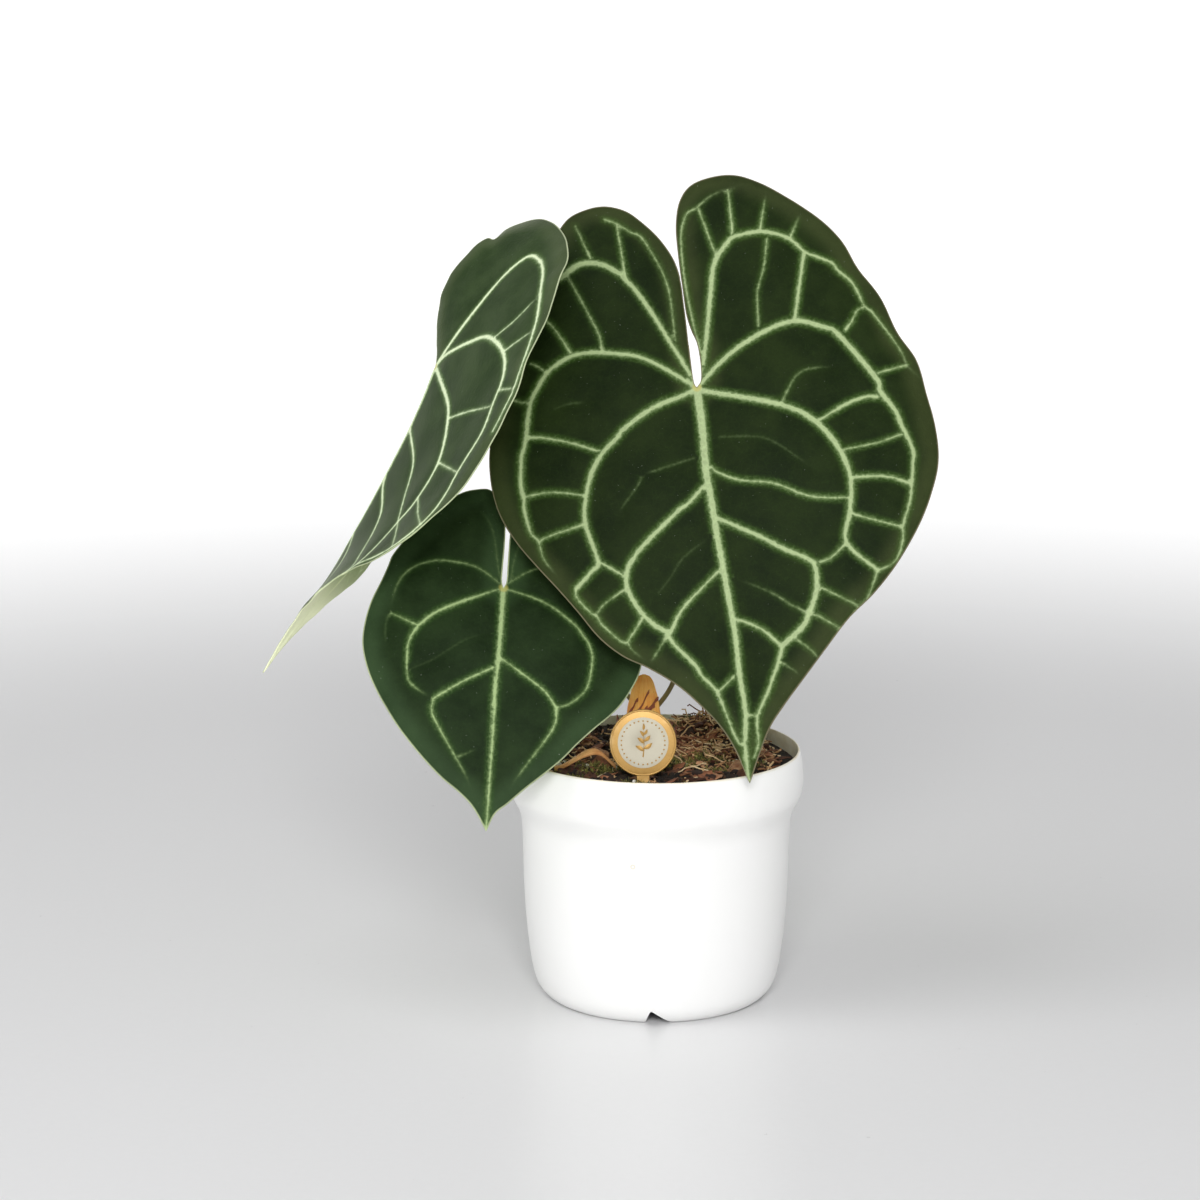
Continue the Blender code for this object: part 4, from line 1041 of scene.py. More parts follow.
def leaf_finish(name, dark, green, halo, vein, margin_tone, strip, under_tone, sheen):
    """Velvet face with pale veins that bleed into the green, a lighter band near the margin that is partly
    leaf colour and partly painted sheen, coloured margin, and pale underside.
    """
    mat = Finish(name, Sheen_Weight=sheen, Sheen_Roughness=0.35, Sheen_Tint=(0.85, 0.9, 0.72, 1),
                 Specular_IOR_Level=0.08)
    read = {key: mat.layer(key).out("Fac") for key in ("clear", "pale", "margin", "face")}
    place = mat.layer("template").out("Vector")
    slow = mat.speckle(42, 5, 0.62, place)
    fine = mat.speckle(620, 4, 0.7, place)
    bleed = read["clear"] + (fine - 0.5) * 2.0 + (mat.speckle(170, 2, 0.5, place) - 0.5) * 0.7
    core = bleed.rise(0.10, -0.55) * read["pale"].rise(0.05, 0.8)
    rim = bleed.rise(0.85, -0.1) * read["pale"].rise(0.0, 0.8)
    glow = bleed.rise(2.8, 0.1) * read["pale"].rise(0.0, 1.0)
    waver = mat.node("ShaderNodeTexNoise", {}, {"Vector": place, "Scale": 160.0}).out("Color")
    waver = mat.node("ShaderNodeVectorMath", {"operation": "SCALE"}, {0: waver, "Scale": 0.004})
    net = mat.node("ShaderNodeTexVoronoi", {"feature": "DISTANCE_TO_EDGE"}, {
        "Vector": mat.vectors("ADD", place, waver), "Scale": 420.0})
    barbs = net.rise(0.12, 0.0) * bleed.rise(1.9, 0.2) * read["pale"].rise(0.3, 0.9)
    panel = mat.blend(slow.rise(0.3, 0.7), dark, green)
    panel = mat.blend(net.rise(0.06, 0.0) * 0.05, panel, halo)
    # Partly leaf colour, partly painted sheen: a lighter grey-green band along the margin, full within 3 mm
    # of the edge and gone by 11 mm.
    panel = mat.blend(read["margin"].rise(11.0, 3.0) * (0.25 + 0.5 * slow), panel, strip)
    upper = mat.blend(glow * 0.45, panel, halo)
    upper = mat.blend(rim.maths("MAXIMUM", barbs * 0.45) * 0.75, upper, mat.blend(0.42, halo, vein))
    bright = tuple(min(0.85, 1.36 * value) for value in vein)
    upper = mat.blend(core, upper, mat.blend(fine.rise(0.3, 0.7), vein, bright))
    from_base = mat.vectors("LENGTH", place).out("Value")
    upper = mat.blend(from_base.rise(0.0024, 0.0012) * 0.55, upper, (0.50, 0.42, 0.10))
    dust = mat.speckle(1500, 2, 0.5, place).rise(0.745, 0.785)
    upper = mat.blend(dust * 0.7, upper, (0.45, 0.5, 0.42))
    upper = mat.blend(read["margin"].rise(0.6, 0.15) * (0.35 + 0.6 * slow), upper, margin_tone)
    end = mat.node("ShaderNodeSeparateXYZ", {}, {0: place}).out("Y").rise(0.092, 0.125)
    under = mat.blend(slow.rise(0.25, 0.75), (0.25, 0.34, 0.135), (0.35, 0.44, 0.20))
    under = mat.blend(net.rise(0.10, 0.0) * 0.35, under, (0.42, 0.52, 0.25))
    under = mat.blend(rim * 0.55, under, (0.46, 0.58, 0.27))
    under = mat.blend(core * 0.8, under, (0.64, 0.72, 0.40))
    under = mat.blend(end, under, under_tone)
    tone = mat.blend(read["face"].rise(0.35, 0.65), under, upper)
    nap = mat.ridges(mat.speckle(3800, 2, 0.6, place), 0.3, 0.00012)
    nap = mat.ridges(mat.speckle(700, 3, 0.5, place), 0.25, 0.0005, nap)
    return mat.done(Base_Color=tone, Roughness=0.52 + 0.14 * slow - 0.10 * core, Normal=nap)


RIGHT_EDGE = [(0, 0), (1.9, -2.5), (2.5, -6), (2.8, -12), (2.4, -19), (0.7, -25.5), (-0.4, -33),
    (-0.5, -46), (-0.5, -62), (0.2, -73), (2.6, -82), (7.2, -88.5), (14, -91.2), (24.5, -91), (34, -87),
    (45, -78.5), (56, -68), (64.5, -57), (70, -43), (77.5, -29), (82, -13), (88, -1), (90, 12.8),
    (91.6, 28), (90.8, 42), (86.5, 54), (79.5, 67), (69, 81), (58, 92), (46.9, 100.5), (36, 111.5),
    (26.3, 121.5), (17, 131.2), (10.5, 139), (5, 149), (0, 159.3)]
LEFT_EDGE = [(0, 0), (1.0, -2.5), (1.1, -12), (0.9, -24), (0.8, -36), (0.9, -47), (2.6, -57), (7, -66.5),
    (13.5, -75.3), (19.4, -81), (27.2, -84.2), (35.4, -84), (42.5, -81), (49, -73.5), (56.6, -60),
    (64.3, -44), (71.4, -27.8), (78.2, -11.7), (83.3, 4.5), (85.8, 18), (86, 30), (84, 41), (79, 52.5),
    (72, 63.5), (65, 73.5), (58, 84), (50.7, 95.5), (42.5, 103.8), (33.1, 109.8), (22.8, 118),
    (14.6, 127.3), (8.4, 136), (4, 145.5), (0, 159.3)]
LAPPED_EDGE = [(0, 0), (-4, -6), (-10, -16), (-16, -28), (-19, -42), (-18, -55), (-13, -70),
    (-3, -83)] + RIGHT_EDGE[10:]
LOW_RIGHT_EDGE = [(0, 0), (1.1, -3), (1.1, -10), (1.1, -17), (1.2, -24), (1.9, -31), (4, -38), (8.4, -43),
    (13.8, -44), (19.8, -41.5), (26, -36.5), (32.5, -29.5), (39, -21.5), (44.7, -12.8), (47.5, -5),
    (50.2, 2), (53.2, 9.5), (55.5, 17.5), (57, 25), (56, 31.5), (53.3, 38), (49.6, 44.5), (45.1, 50),
    (39.6, 55.4), (33.3, 62.1), (28, 68.4), (21.7, 74.6), (13.6, 81.9), (7.4, 88), (3, 92), (0, 99)]
LOW_LEFT_EDGE = [(0, 0), (0.9, -3), (0.9, -10), (0.8, -17), (0.9, -24), (1.6, -31), (4, -38.5),
    (8.2, -43.5), (14, -43), (19.8, -40.8), (26, -36), (32.5, -29.5), (39, -21.5), (44.7, -12.8),
    (46.6, -6.8), (49.2, 0.7), (52.1, 8.1), (53.8, 16.3), (54.3, 23.6), (53.3, 30.8), (50.6, 38.9),
    (47, 45.9), (42.7, 52.7), (37.3, 60.3), (31, 67.6), (24.8, 74), (18.7, 79.5), (12.7, 83.8), (7.6, 88.1),
    (4, 92.5), (0, 99)]

# Each vein is its half width at the start, middle and end, its paleness at both ends, and its line.
RIGHT_VEINS = [
    (1.03, 1.12, 0.69, 1, 1, [(0, 0), (4, 2.5), (32, 12.5), (44, 20.5), (52, 33), (55, 46), (53, 58.5),
        (50, 71), (60.5, 83.5)]),
    (1.03, 1.12, 0.3, 1, 0.6, [(0, 0), (13, -10.5), (27.5, -18.5), (41.5, -22), (53, -18), (58.5, -14),
        (71, 6), (71.5, 11), (76.5, 20), (78, 26.5), (81, 37), (80, 44), (77, 57), (73, 66.5), (72, 72.5),
        (69.5, 78.5), (66.5, 81.5), (60.5, 83.5)]),
    (0.39, 0.3, 0.17, 0.6, 0.25, [(60.5, 83.5), (55.5, 93), (51.5, 96.5), (47.5, 101), (43, 104.5),
        (33.5, 116)]),
    (0.77, 1.07, 0.77, 1, 1, [(0.4, -2), (4.5, -12.5), (10, -37), (13.5, -52), (20, -60.5), (23.5, -62.5),
        (34, -63), (44, -59), (50, -51.5)]),
    (0.69, 0.43, 0.21, 0.95, 0.3, [(50, -51.5), (59.5, -46), (62, -42), (67, -36), (70.5, -25.5),
        (73.5, -22), (82, -5.5), (84, 1.5), (89, 8), (89.5, 13.5)]),
    (0.34, 0.43, 0.26, 0.9, 0.4, [(4, -9.5), (1.5, -32), (0.8, -51.5), (1.8, -68), (5.5, -76.5), (9, -78),
        (14.5, -82), (19, -84), (27, -85.5), (31.5, -85.5)]),
    (0.77, 0.95, 1.12, 1, 1, [(0.5, 52), (1.4, 54.5), (18, 65), (24, 69.5), (34, 75.5), (36.5, 79.5),
        (35.5, 89), (31, 98), (28, 102), (19.5, 108)]),
    (0.86, 0.6, 0.34, 1, 0.7, [(19.5, 108), (18, 112.5), (12, 124.5), (6.5, 134), (5.5, 144), (3, 149.5)]),
    (0.6, 0.43, 0.52, 0.8, 0.6, [(50, 71), (43.5, 76), (38.5, 77.5)]),
    (0.6, 0.65, 0.69, 1, 1, [(45.5, 21), (58, 15), (66, 13), (70, 13.5)]),
    (0.34, 0.15, 0.34, 0.8, 0.7, [(53, 34), (67, 32.5), (77.5, 30)]),
    (0.69, 0.52, 0.6, 1, 1, [(55, 45.5), (65.5, 46), (72, 47.5), (78, 50.5)]),
    (0.52, 0.3, 0.39, 0.95, 0.8, [(53.5, 59), (56, 61), (72.5, 67.5)]),
    (0.77, 0.65, 0.69, 1, 1, [(49.5, -51), (42, -22.5)]),
    (0.34, 0.17, 0.3, 0.6, 0.5, [(35.5, -59), (33, -47.5), (29, -36.5), (27.5, -22)]),
    (0.43, 0.3, 0.52, 0.7, 0.9, [(70.5, -25.5), (67, -23.5), (64.5, -19.5), (61.5, -16)]),
    (0.3, 0.3, 0.43, 0.7, 0.9, [(84, 1), (72, 3.5)]),
    (0.3, 0.34, 0.6, 0.5, 1, [(23, -84.5), (22.5, -65)]),
    (0.52, 0.26, 0.17, 0.9, 0.3, [(33.5, -64), (38, -80.5)]),
    (0.43, 0.21, 0.13, 0.8, 0.2, [(45, -59), (50.5, -69.5)]),
    (0.26, 0.26, 0.43, 0.6, 0.8, [(10, -78.5), (14.5, -56)]),
    (0.43, 0.43, 0.34, 0.9, 0.9, [(1.4, 33.5), (3.5, 36), (11.5, 40.5), (25, 44), (35, 49.5), (42, 52),
        (53, 53.5)]),
    (0.26, 0.13, 0.09, 0.5, 0.25, [(32.5, 11), (41.5, 0), (56, -1)]),
    (0.43, 0.17, 0.26, 0.8, 0.5, [(37, 87), (51.5, 96.5)]),
    (0.43, 0.17, 0.26, 0.8, 0.5, [(31.5, 97), (35.5, 98.5), (43, 104.5)]),
    (0.52, 0.52, 0.77, 1, 1, [(1.9, 94.5), (12, 100), (19.5, 108)]),
    (0.34, 0.17, 0.26, 0.7, 0.4, [(24.5, 105), (31, 111.5), (33.5, 116)]),
    (0.34, 0.1, 0.09, 0.5, 0.15, [(18, 113.5), (25.5, 120.5)]),
    (0.3, 0.12, 0.09, 0.5, 0.15, [(30.5, 96), (24.5, 92), (18.5, 87), (5, 79)]),
    (0.1, 0.12, 0.09, 0.2, 0.2, [(6.5, 22), (19.5, 24), (27.5, 27.5), (42, 41)]),
    (0.43, 0.26, 0.34, 0.9, 0.8, [(3, 132.5), (6.5, 134)]),
]
LEFT_VEINS = [
    (1.03, 0.95, 0.86, 1, 1, [(0, 0), (5, 2.5), (18, 6.5), (30.5, 13.5), (33.5, 16.5), (40, 22),
        (45.5, 29.5), (49, 39), (50.5, 49.5), (47.5, 65.5), (50.5, 69), (57.5, 75)]),
    (0.86, 0.95, 0.86, 0.8, 1, [(0, 0), (16, -12.5), (27, -17.5), (44.5, -20.5), (56.5, -16), (63, -9),
        (67, -1.5), (70.5, 13.5), (72.5, 18.5), (74, 29.5), (73.5, 36.5)]),
    (0.77, 0.43, 0.13, 1, 0.3, [(73.5, 36.5), (74, 39.5), (72.5, 50), (70, 53.5), (68.5, 61.5),
        (63, 70.5)]),
    (0.77, 0.95, 1.29, 0.8, 0.55, [(0, -1), (15.5, -37.5), (22, -49), (25.5, -53.5), (32.5, -58.5),
        (40.5, -59.5), (48.5, -55)]),
    (0.77, 0.95, 1.03, 1, 1, [(1.4, 40), (9, 47), (14, 50), (30, 62.5), (33.5, 66.5), (36, 69.5),
        (37.5, 77), (34, 86.5), (29, 93), (24.5, 96.5)]),
    (0.86, 0.69, 0.34, 1, 0.7, [(24.5, 96.5), (22, 102), (15, 111), (13, 115.5), (8, 122.5), (4, 138),
        (2, 143.5)]),
    (0.21, 0.3, 0.34, 0.5, 0.6, [(6, -21), (6.5, -46), (13.5, -66.5), (18.5, -71), (23.5, -75.5),
        (28, -78)]),
    (0.52, 0.52, 0.69, 0.7, 0.8, [(46.5, 66), (37, 73.5)]),
    (0.6, 0.43, 0.52, 0.95, 0.95, [(69.5, 11), (63.5, 12), (51.5, 16.5), (42.5, 21)]),
    (0.43, 0.3, 0.39, 0.9, 0.8, [(73, 35), (62.5, 35), (50.5, 38)]),
    (0.39, 0.34, 0.6, 0.8, 0.95, [(69.5, 54), (65.5, 52.5), (51, 50)]),
    (0.34, 0.3, 0.43, 0.4, 0.6, [(45.5, -55), (36.5, -29.5), (35.5, -21)]),
    (0.34, 0.3, 0.6, 0.7, 0.8, [(56, -37), (53, -32.5), (48, -21.5)]),
    (0.26, 0.26, 0.43, 0.5, 0.6, [(64.5, -20), (61.5, -18), (58.5, -14.5)]),
    (0.3, 0.3, 0.52, 0.6, 0.8, [(23.5, -75), (22.5, -51)]),
    (0.21, 0.3, 0.43, 0.4, 0.6, [(40, -77), (35.5, -61.5)]),
    (0.3, 0.3, 0.43, 0.6, 0.7, [(73, -6), (70.5, -4.5), (67, -4)]),
    (0.6, 0.56, 0.77, 1, 1, [(1.3, 75.5), (16.5, 88), (22.5, 96.5)]),
    (0.52, 0.34, 0.43, 1, 0.9, [(-0.3, 116.5), (7, 122)]),
    (0.1, 0.13, 0.13, 0.2, 0.3, [(4.5, 29), (26, 33.5)]),
    (0.13, 0.1, 0.07, 0.3, 0.15, [(26, 33.5), (28, 37.5), (35.5, 45.5), (36.5, 49.5)]),
    (0.34, 0.17, 0.26, 0.7, 0.5, [(38.5, 78), (47, 82.5), (50.5, 86)]),
    (0.52, 0.34, 0.34, 0.95, 0.8, [(32.5, 89.5), (40, 98.5)]),
    (0.34, 0.17, 0.26, 0.6, 0.4, [(24.5, 97), (27, 101.5), (32.5, 108)]),
    (0.43, 0.34, 0.21, 0.9, 0.4, [(57.5, 75), (57.5, 78.5), (53, 85), (50.5, 87), (49, 90.5), (42.5, 98),
        (40, 99), (38.5, 102), (32.5, 108)]),
    (0.09, 0.12, 0.09, 0.15, 0.2, [(25.5, 81), (20, 75.5), (13.5, 68), (2.1, 61.5)]),
    (0.09, 0.12, 0.09, 0.15, 0.25, [(57, 1), (51, 0), (44, 0.5)]),
]
SIDE_VEINS = [
    (1.1, 0.85, 0.45, 1, 0.75, [(0, 0), (6, -15.2), (16.4, -38.5), (24.1, -53.5), (33.9, -63.2),
        (41.9, -61.1), (50.2, -54.4), (61.7, -39.9), (73.5, -23.9), (84.5, -1.5), (87.2, 17.5)]),
    (1.1, 0.85, 0.45, 1, 0.75, [(0, 0), (7.5, -8.6), (31.2, -19.1), (46.4, -17.8), (59.9, -12.6),
        (69.4, -3.7), (73.3, 7.4), (77.8, 20.5), (76.7, 38.5), (80.2, 49.9), (79.9, 62), (69.2, 78.4),
        (56, 90), (44, 104), (32, 115)]),
    (1.1, 0.94, 0.6, 1, 0.75, [(0, 0), (25.7, 11.6), (36.3, 19.4), (51, 37.5), (52.6, 56.6), (49, 68),
        (48.8, 78.8), (51.9, 92.4)]),
    (0.8, 0.66, 0.4, 0.9, 0.68, [(0.5, 28), (2.7, 31.5), (22.4, 41.9), (35.1, 57), (46.1, 66.9)]),
    (0.8, 0.66, 0.4, 0.9, 0.68, [(0.5, 54), (4.7, 59.5), (20.4, 70.1), (34.1, 85.5), (48.1, 95.3)]),
    (0.6, 0.52, 0.35, 0.8, 0.6, [(0.5, 84), (10, 94), (20, 108), (27, 117)]),
    (0.4, 0.41, 0.35, 0.7, 0.52, [(36.3, 19.4), (54, 13), (71.1, 8.5)]),
    (0.4, 0.41, 0.35, 0.7, 0.52, [(52, 38.2), (76.7, 38.5)]),
    (0.4, 0.41, 0.35, 0.7, 0.52, [(53.6, 55.9), (66, 61), (79.9, 64.4)]),
    (0.4, 0.41, 0.35, 0.7, 0.52, [(46.1, 66.9), (58, 73), (69.2, 78.4)]),
    (0.4, 0.39, 0.3, 0.65, 0.49, [(44.1, -20.1), (54, -29), (61.7, -39.9)]),
    (0.35, 0.36, 0.3, 0.6, 0.45, [(59, -14.7), (73.5, -23.9)]),
    (0.35, 0.36, 0.3, 0.6, 0.45, [(71.9, 0.8), (84.5, -1.5)]),
]
LOW_RIGHT_VEINS = [
    (0.31, 0.34, 0.41, 0.42, 0.77, [(0, 0), (17, 5.5), (28.5, 13), (33, 18)]),
    (0.41, 0.34, 0.24, 0.82, 0.52, [(33, 18), (35.5, 21.5), (37, 27.5), (36, 37.5), (33.5, 42.5),
        (29, 46.5), (24, 48.5)]),
    (0.27, 0.34, 0.2, 0.42, 0.32, [(0, -0.6), (8.5, -7), (18.5, -11), (25.5, -10.5)]),
    (0.2, 0.2, 0.1, 0.27, 0.15, [(0, -1), (2.7, -5.5), (3.5, -13), (7, -27.5)]),
    (0.37, 0.37, 0.51, 0.92, 0.87, [(1.3, 30), (18, 41.5), (24, 48.5)]),
    (0.48, 0.27, 0.14, 0.82, 0.27, [(24, 48.5), (23, 57.5), (10.5, 77.5), (8, 83.5)]),
]
LOW_LEFT_VEINS = [
    (0.31, 0.71, 0.61, 0.52, 0.92, [(0, 0), (24, 11.5), (32.5, 18.5)]),
    (0.61, 0.27, 0.2, 0.92, 0.42, [(32.5, 18.5), (35, 23), (36, 28), (35, 40), (32, 44), (24.5, 48.5)]),
    (0.27, 0.37, 0.27, 0.37, 0.42, [(0, -0.6), (11, -8), (22.5, -10), (29, -9.5), (35.5, -7), (40, -3),
        (42.5, 2.5), (44.5, 13)]),
    (0.2, 0.07, 0.07, 0.22, 0.15, [(44.5, 13), (45.5, 19), (44.5, 28)]),
    (0.2, 0.2, 0.1, 0.22, 0.15, [(0, -1), (2.1, -6), (6, -25), (11.5, -33), (16.5, -32)]),
    (0.48, 0.41, 0.54, 0.92, 0.92, [(2.1, 34), (14, 41), (24.5, 48.5)]),
    (0.48, 0.27, 0.14, 0.82, 0.32, [(24.5, 48.5), (23.5, 56), (9.5, 78), (7, 85)]),
    (0.24, 0.24, 0.41, 0.52, 0.87, [(44.5, 13), (32.5, 18.5)]),
    (0.2, 0.1, 0.07, 0.42, 0.15, [(13.5, 71), (5.5, 67)]),
    (0.07, 0.08, 0.05, 0.15, 0.15, [(35, 37), (26, 32.5), (13.5, 23.5), (4, 20)]),
]
FRONT_RIB = [(0, -0.5), (0, 17), (-0.8, 35), (-0.2, 49), (0.3, 64), (1.5, 87), (2.1, 101), (1.7, 116),
    (2.1, 130), (1.2, 138), (0, 146), (-0.4, 154), (0, FULL_LENGTH)]
FRONT.update(rolled=1.0, edges=(RIGHT_EDGE, LEFT_EDGE), veins=(RIGHT_VEINS, LEFT_VEINS),
             midrib=(1.7, 1.25, 0.9, 1.0, 0.85, FRONT_RIB))
LOW.update(rolled=0.0, edges=(LOW_RIGHT_EDGE, LOW_LEFT_EDGE), veins=(LOW_RIGHT_VEINS, LOW_LEFT_VEINS),
           midrib=(1.1, 0.85, 0.4, 0.9, 0.8, [(0, -0.5), (0.1, 25), (-0.5, 40), (-0.3, 60), (0, 99)]))
SIDE.update(rolled=0.0, edges=(LAPPED_EDGE, LEFT_EDGE), veins=(SIDE_VEINS, LEFT_VEINS),
            midrib=(1.3, 1.0, 0.4, 1.0, 0.9, [(0, -0.5), (0, 80), (0, FULL_LENGTH)]))

# Each strip colour is the lighter band along the margin, which is partly painted sheen.
velvet = leaf_finish(
    "velvet_front", dark=(0.0042, 0.0108, 0.0008), green=(0.0120, 0.0225, 0.0036),
    halo=(0.050, 0.110, 0.016), vein=(0.29, 0.365, 0.185), margin_tone=(0.24, 0.21, 0.13),
    strip=(0.048, 0.062, 0.020), under_tone=(0.36, 0.45, 0.20), sheen=0.03)
velvet_low = leaf_finish(
    "velvet_low", dark=(0.0058, 0.0148, 0.0030), green=(0.017, 0.034, 0.010),
    halo=(0.036, 0.090, 0.014), vein=(0.29, 0.385, 0.175), margin_tone=(0.55, 0.62, 0.36),
    strip=(0.040, 0.075, 0.030), under_tone=(0.36, 0.45, 0.20), sheen=0.05)
# Painted sheen and light: the side leaf's panels, veins, margin band and underside tip are two to three times
# lighter than the front leaf's, for the same kind of leaf seen at a grazing angle.
velvet_side = leaf_finish(
    "velvet_side", dark=(0.013, 0.030, 0.006), green=(0.032, 0.056, 0.018),
    halo=(0.070, 0.140, 0.030), vein=(0.56, 0.68, 0.42), margin_tone=(0.60, 0.66, 0.42),
    strip=(0.075, 0.100, 0.045), under_tone=(0.90, 0.94, 0.64), sheen=0.22)
blades = [blade("Leaf_front", FRONT, 1.35, velvet), blade("Leaf_low", LOW, 1.15, velvet_low),
          blade("Leaf_side", SIDE, 1.35, velvet_side)]
for piece, node in zip(blades, ("leaf_front", "leaf_low", "leaf_side")):
    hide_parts(node)
    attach(piece, "root")


# Dry bract
# A dead bract that has curled into a long roll and lies in an arch on the mix: orange tan tissue.

def bract(u, v):
    """The bract: a strip that arches up, its long edges rolled under."""
    x = -41 + 24.5 * v
    y = -24 - 3.0 * math.sin(math.pi * v) + 1.5 * v
    across = u - 0.5
    rise = 6.2 * math.sin(math.pi * v ** 1.5) + 0.6
    width = 5.2 * (1 - 0.45 * v) * (1 + 0.06 * noise.noise(Vector((v * 8, round(u), 1))))
    roll = across * 3.6
    y += math.sin(roll) / 3.6 * width * 1.6
    out = np.array([0, math.sin(roll) * 0.9, math.cos(roll)])
    wrinkle = 0.25 * noise.noise(Vector((u * 7, v * 5, 3)))
    z = mix_height(x, y) + 1.9 + rise + (math.cos(roll) - 1) * width * 0.28
    return np.array([x, y, z]) + out * wrinkle, out / np.linalg.norm(out), 1 - 0.5 * abs(2 * u - 1) ** 5


dead = husk_finish("dry_bract_skin", [
    (0.2, (0.26, 0.09, 0.025)), (0.4, (0.60, 0.26, 0.08)), (0.6, (0.82, 0.45, 0.17)),
    (0.85, (0.93, 0.72, 0.44))], 26.0, 0.7)
curl = sheet("Dry_bract", bract, 70, 26, 0.8, dead)
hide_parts("dry_bract")
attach(curl, "root")


# Plant pick
# A flat plastic pick pushed into the mix: a round head with a gilt rim round a cream face, and a
# narrow gilt stake. The face carries a plain sprig of leaves in a ring of beads.

def gilt_finish():
    """Satin gold foil: fine brushing, a few rubbed places."""
    mat = Finish("pick_gilt", Metallic=0.4)
    brushed = mat.speckle(700, 4, 0.6)
    worn = mat.speckle(120, 3).rise(0.55, 0.8)
    tone = mat.blend(brushed, (0.36, 0.20, 0.045), (0.50, 0.30, 0.085))
    tone = mat.blend(worn * 0.4, tone, (0.80, 0.62, 0.33))
    return mat.done(Base_Color=tone, Roughness=0.33 + 0.2 * brushed, Normal=mat.ridges(brushed, 0.15, 0.0002))


def cream_finish():
    """Matt cream card skin with a faint grain."""
    mat = Finish("pick_cream")
    grain = mat.speckle(1600, 4, 0.6)
    tone = mat.blend(mat.speckle(180, 3), (0.50, 0.46, 0.36), (0.57, 0.53, 0.42))
    tone = mat.blend(grain.rise(0.62, 0.75) * 0.3, tone, (0.48, 0.44, 0.33))
    return mat.done(Base_Color=tone, Roughness=0.55 + 0.15 * grain, Normal=mat.ridges(grain, 0.3, 0.0002))


def rounded(name, outline, thick, radius, finish):
    """A plate in the pick's plane with rounded corners along its edges."""
    piece = pick_plate(name, outline, thick, finish)
    form = bmesh.new()
    form.from_mesh(piece.data)
    bmesh.ops.recalc_face_normals(form, faces=form.faces)
    sharp = [e for e in form.edges if e.calc_face_angle(0) > 0.9]
    bmesh.ops.bevel(form, geom=sharp, offset=radius * 0.001, segments=3, affect="EDGES", profile=0.5)
    bmesh.ops.triangulate(form, faces=[f for f in form.faces if len(f.verts) > 4])
    form.to_mesh(piece.data)
    form.free()
    piece.data.shade_smooth()
    piece.data.set_sharp_from_angle(angle=math.radians(50))
    return piece


def circle(radius, count, start=0.0, sweep=2 * math.pi):
    return [(radius * math.sin(start + sweep * k / count), -radius * math.cos(start + sweep * k / count))
            for k in range(count)]


def on_face(points, lift):
    """Millimetre points in the pick's plane, lifted off its face."""
    return [PICK_HEAD + np.array([x, 0, 0]) + PICK_UP * y + PICK_OUT * (0.8 + lift + h) for x, y, h in points]


def turned_ring(name, section, segments, finish):
    """A ring on the pick's face from a section of (radius, height)."""
    points = [(r * math.sin(2 * math.pi * k / segments), -r * math.cos(2 * math.pi * k / segments), h)
              for k in range(segments) for r, h in section]
    n = len(section)
    faces = [quad for k in range(segments) for quad in band(n, k * n, (k + 1) % segments * n)]
    piece = mesh_object(name, on_face(points, 0), faces, finish)
    face_outwards(piece)
    piece.data.shade_smooth()
    return piece


gilt = gilt_finish()
cream = cream_finish()
HEAD_RADIUS = 13.2
STAKE_HALF = 2.5
edge = math.asin(STAKE_HALF / HEAD_RADIUS)
plate = [(-STAKE_HALF, -40.6), (0, -48.6), (STAKE_HALF, -40.6)]
plate += circle(HEAD_RADIUS, 96, edge, 2 * math.pi - 2 * edge) + [(-STAKE_HALF, -12.96)]
rim = [(12.3, -0.05), (12.45, 0.16), (12.8, 0.20), (13.05, 0.12), (13.12, -0.05)]
pick_pieces = [
    rounded("Pick_plate", plate, 1.6, 0.22, gilt),
    turned_ring("Pick_face", [(0.01, -0.06), (0.01, 0.06), (9.9, 0.06), (10.15, -0.06)], 96, cream),
    turned_ring("Pick_rim", rim, 96, gilt),
]
beads = []
bead_faces = []
for left, up in circle(8.6, 30):
    n = len(beads)
    beads.append((left, up, 0.26))
    for radius, lift in ((0.22, 0.20), (0.36, 0.05)):
        beads += [(left + radius * math.cos(s * math.pi / 5), up + radius * math.sin(s * math.pi / 5), lift)
                  for s in range(10)]
    bead_faces += [(n, n + 1 + s, n + 1 + (s + 1) % 10) for s in range(10)]
    bead_faces += [(n + 1 + s, n + 11 + s, n + 11 + (s + 1) % 10, n + 1 + (s + 1) % 10) for s in range(10)]
    bead_faces.append(tuple(n + 11 + s for s in reversed(range(10))))
pick_pieces.append(mesh_object("Pick_beads", on_face(beads, 0), bead_faces, gilt))


def sprig_leaf(base, heading, length, width):
    """A pointed leaf with a fold along its middle, as points and faces."""
    points = []
    ahead = np.array([math.sin(heading), math.cos(heading)])
    side = np.array([ahead[1], -ahead[0]])
    for k in range(9):
        t = k / 8
        half = width * math.sin(math.pi * min(1, t * 1.02)) ** 0.8 * (1 - 0.25 * t) if 0 < k < 8 else 0.02
        middle = np.array(base) + ahead * length * t + side * 0.25 * math.sin(math.pi * t)
        points += [(*(middle - side * half), 0.07), (*middle, 0.26), (*(middle + side * half), 0.07),
                   (*middle, -0.02)]
    faces = []
    for k in range(0, 32, 4):
        faces += band(4, k, k + 4)
    faces += [(0, 3, 2, 1), (32, 33, 34, 35)]
    return points, faces


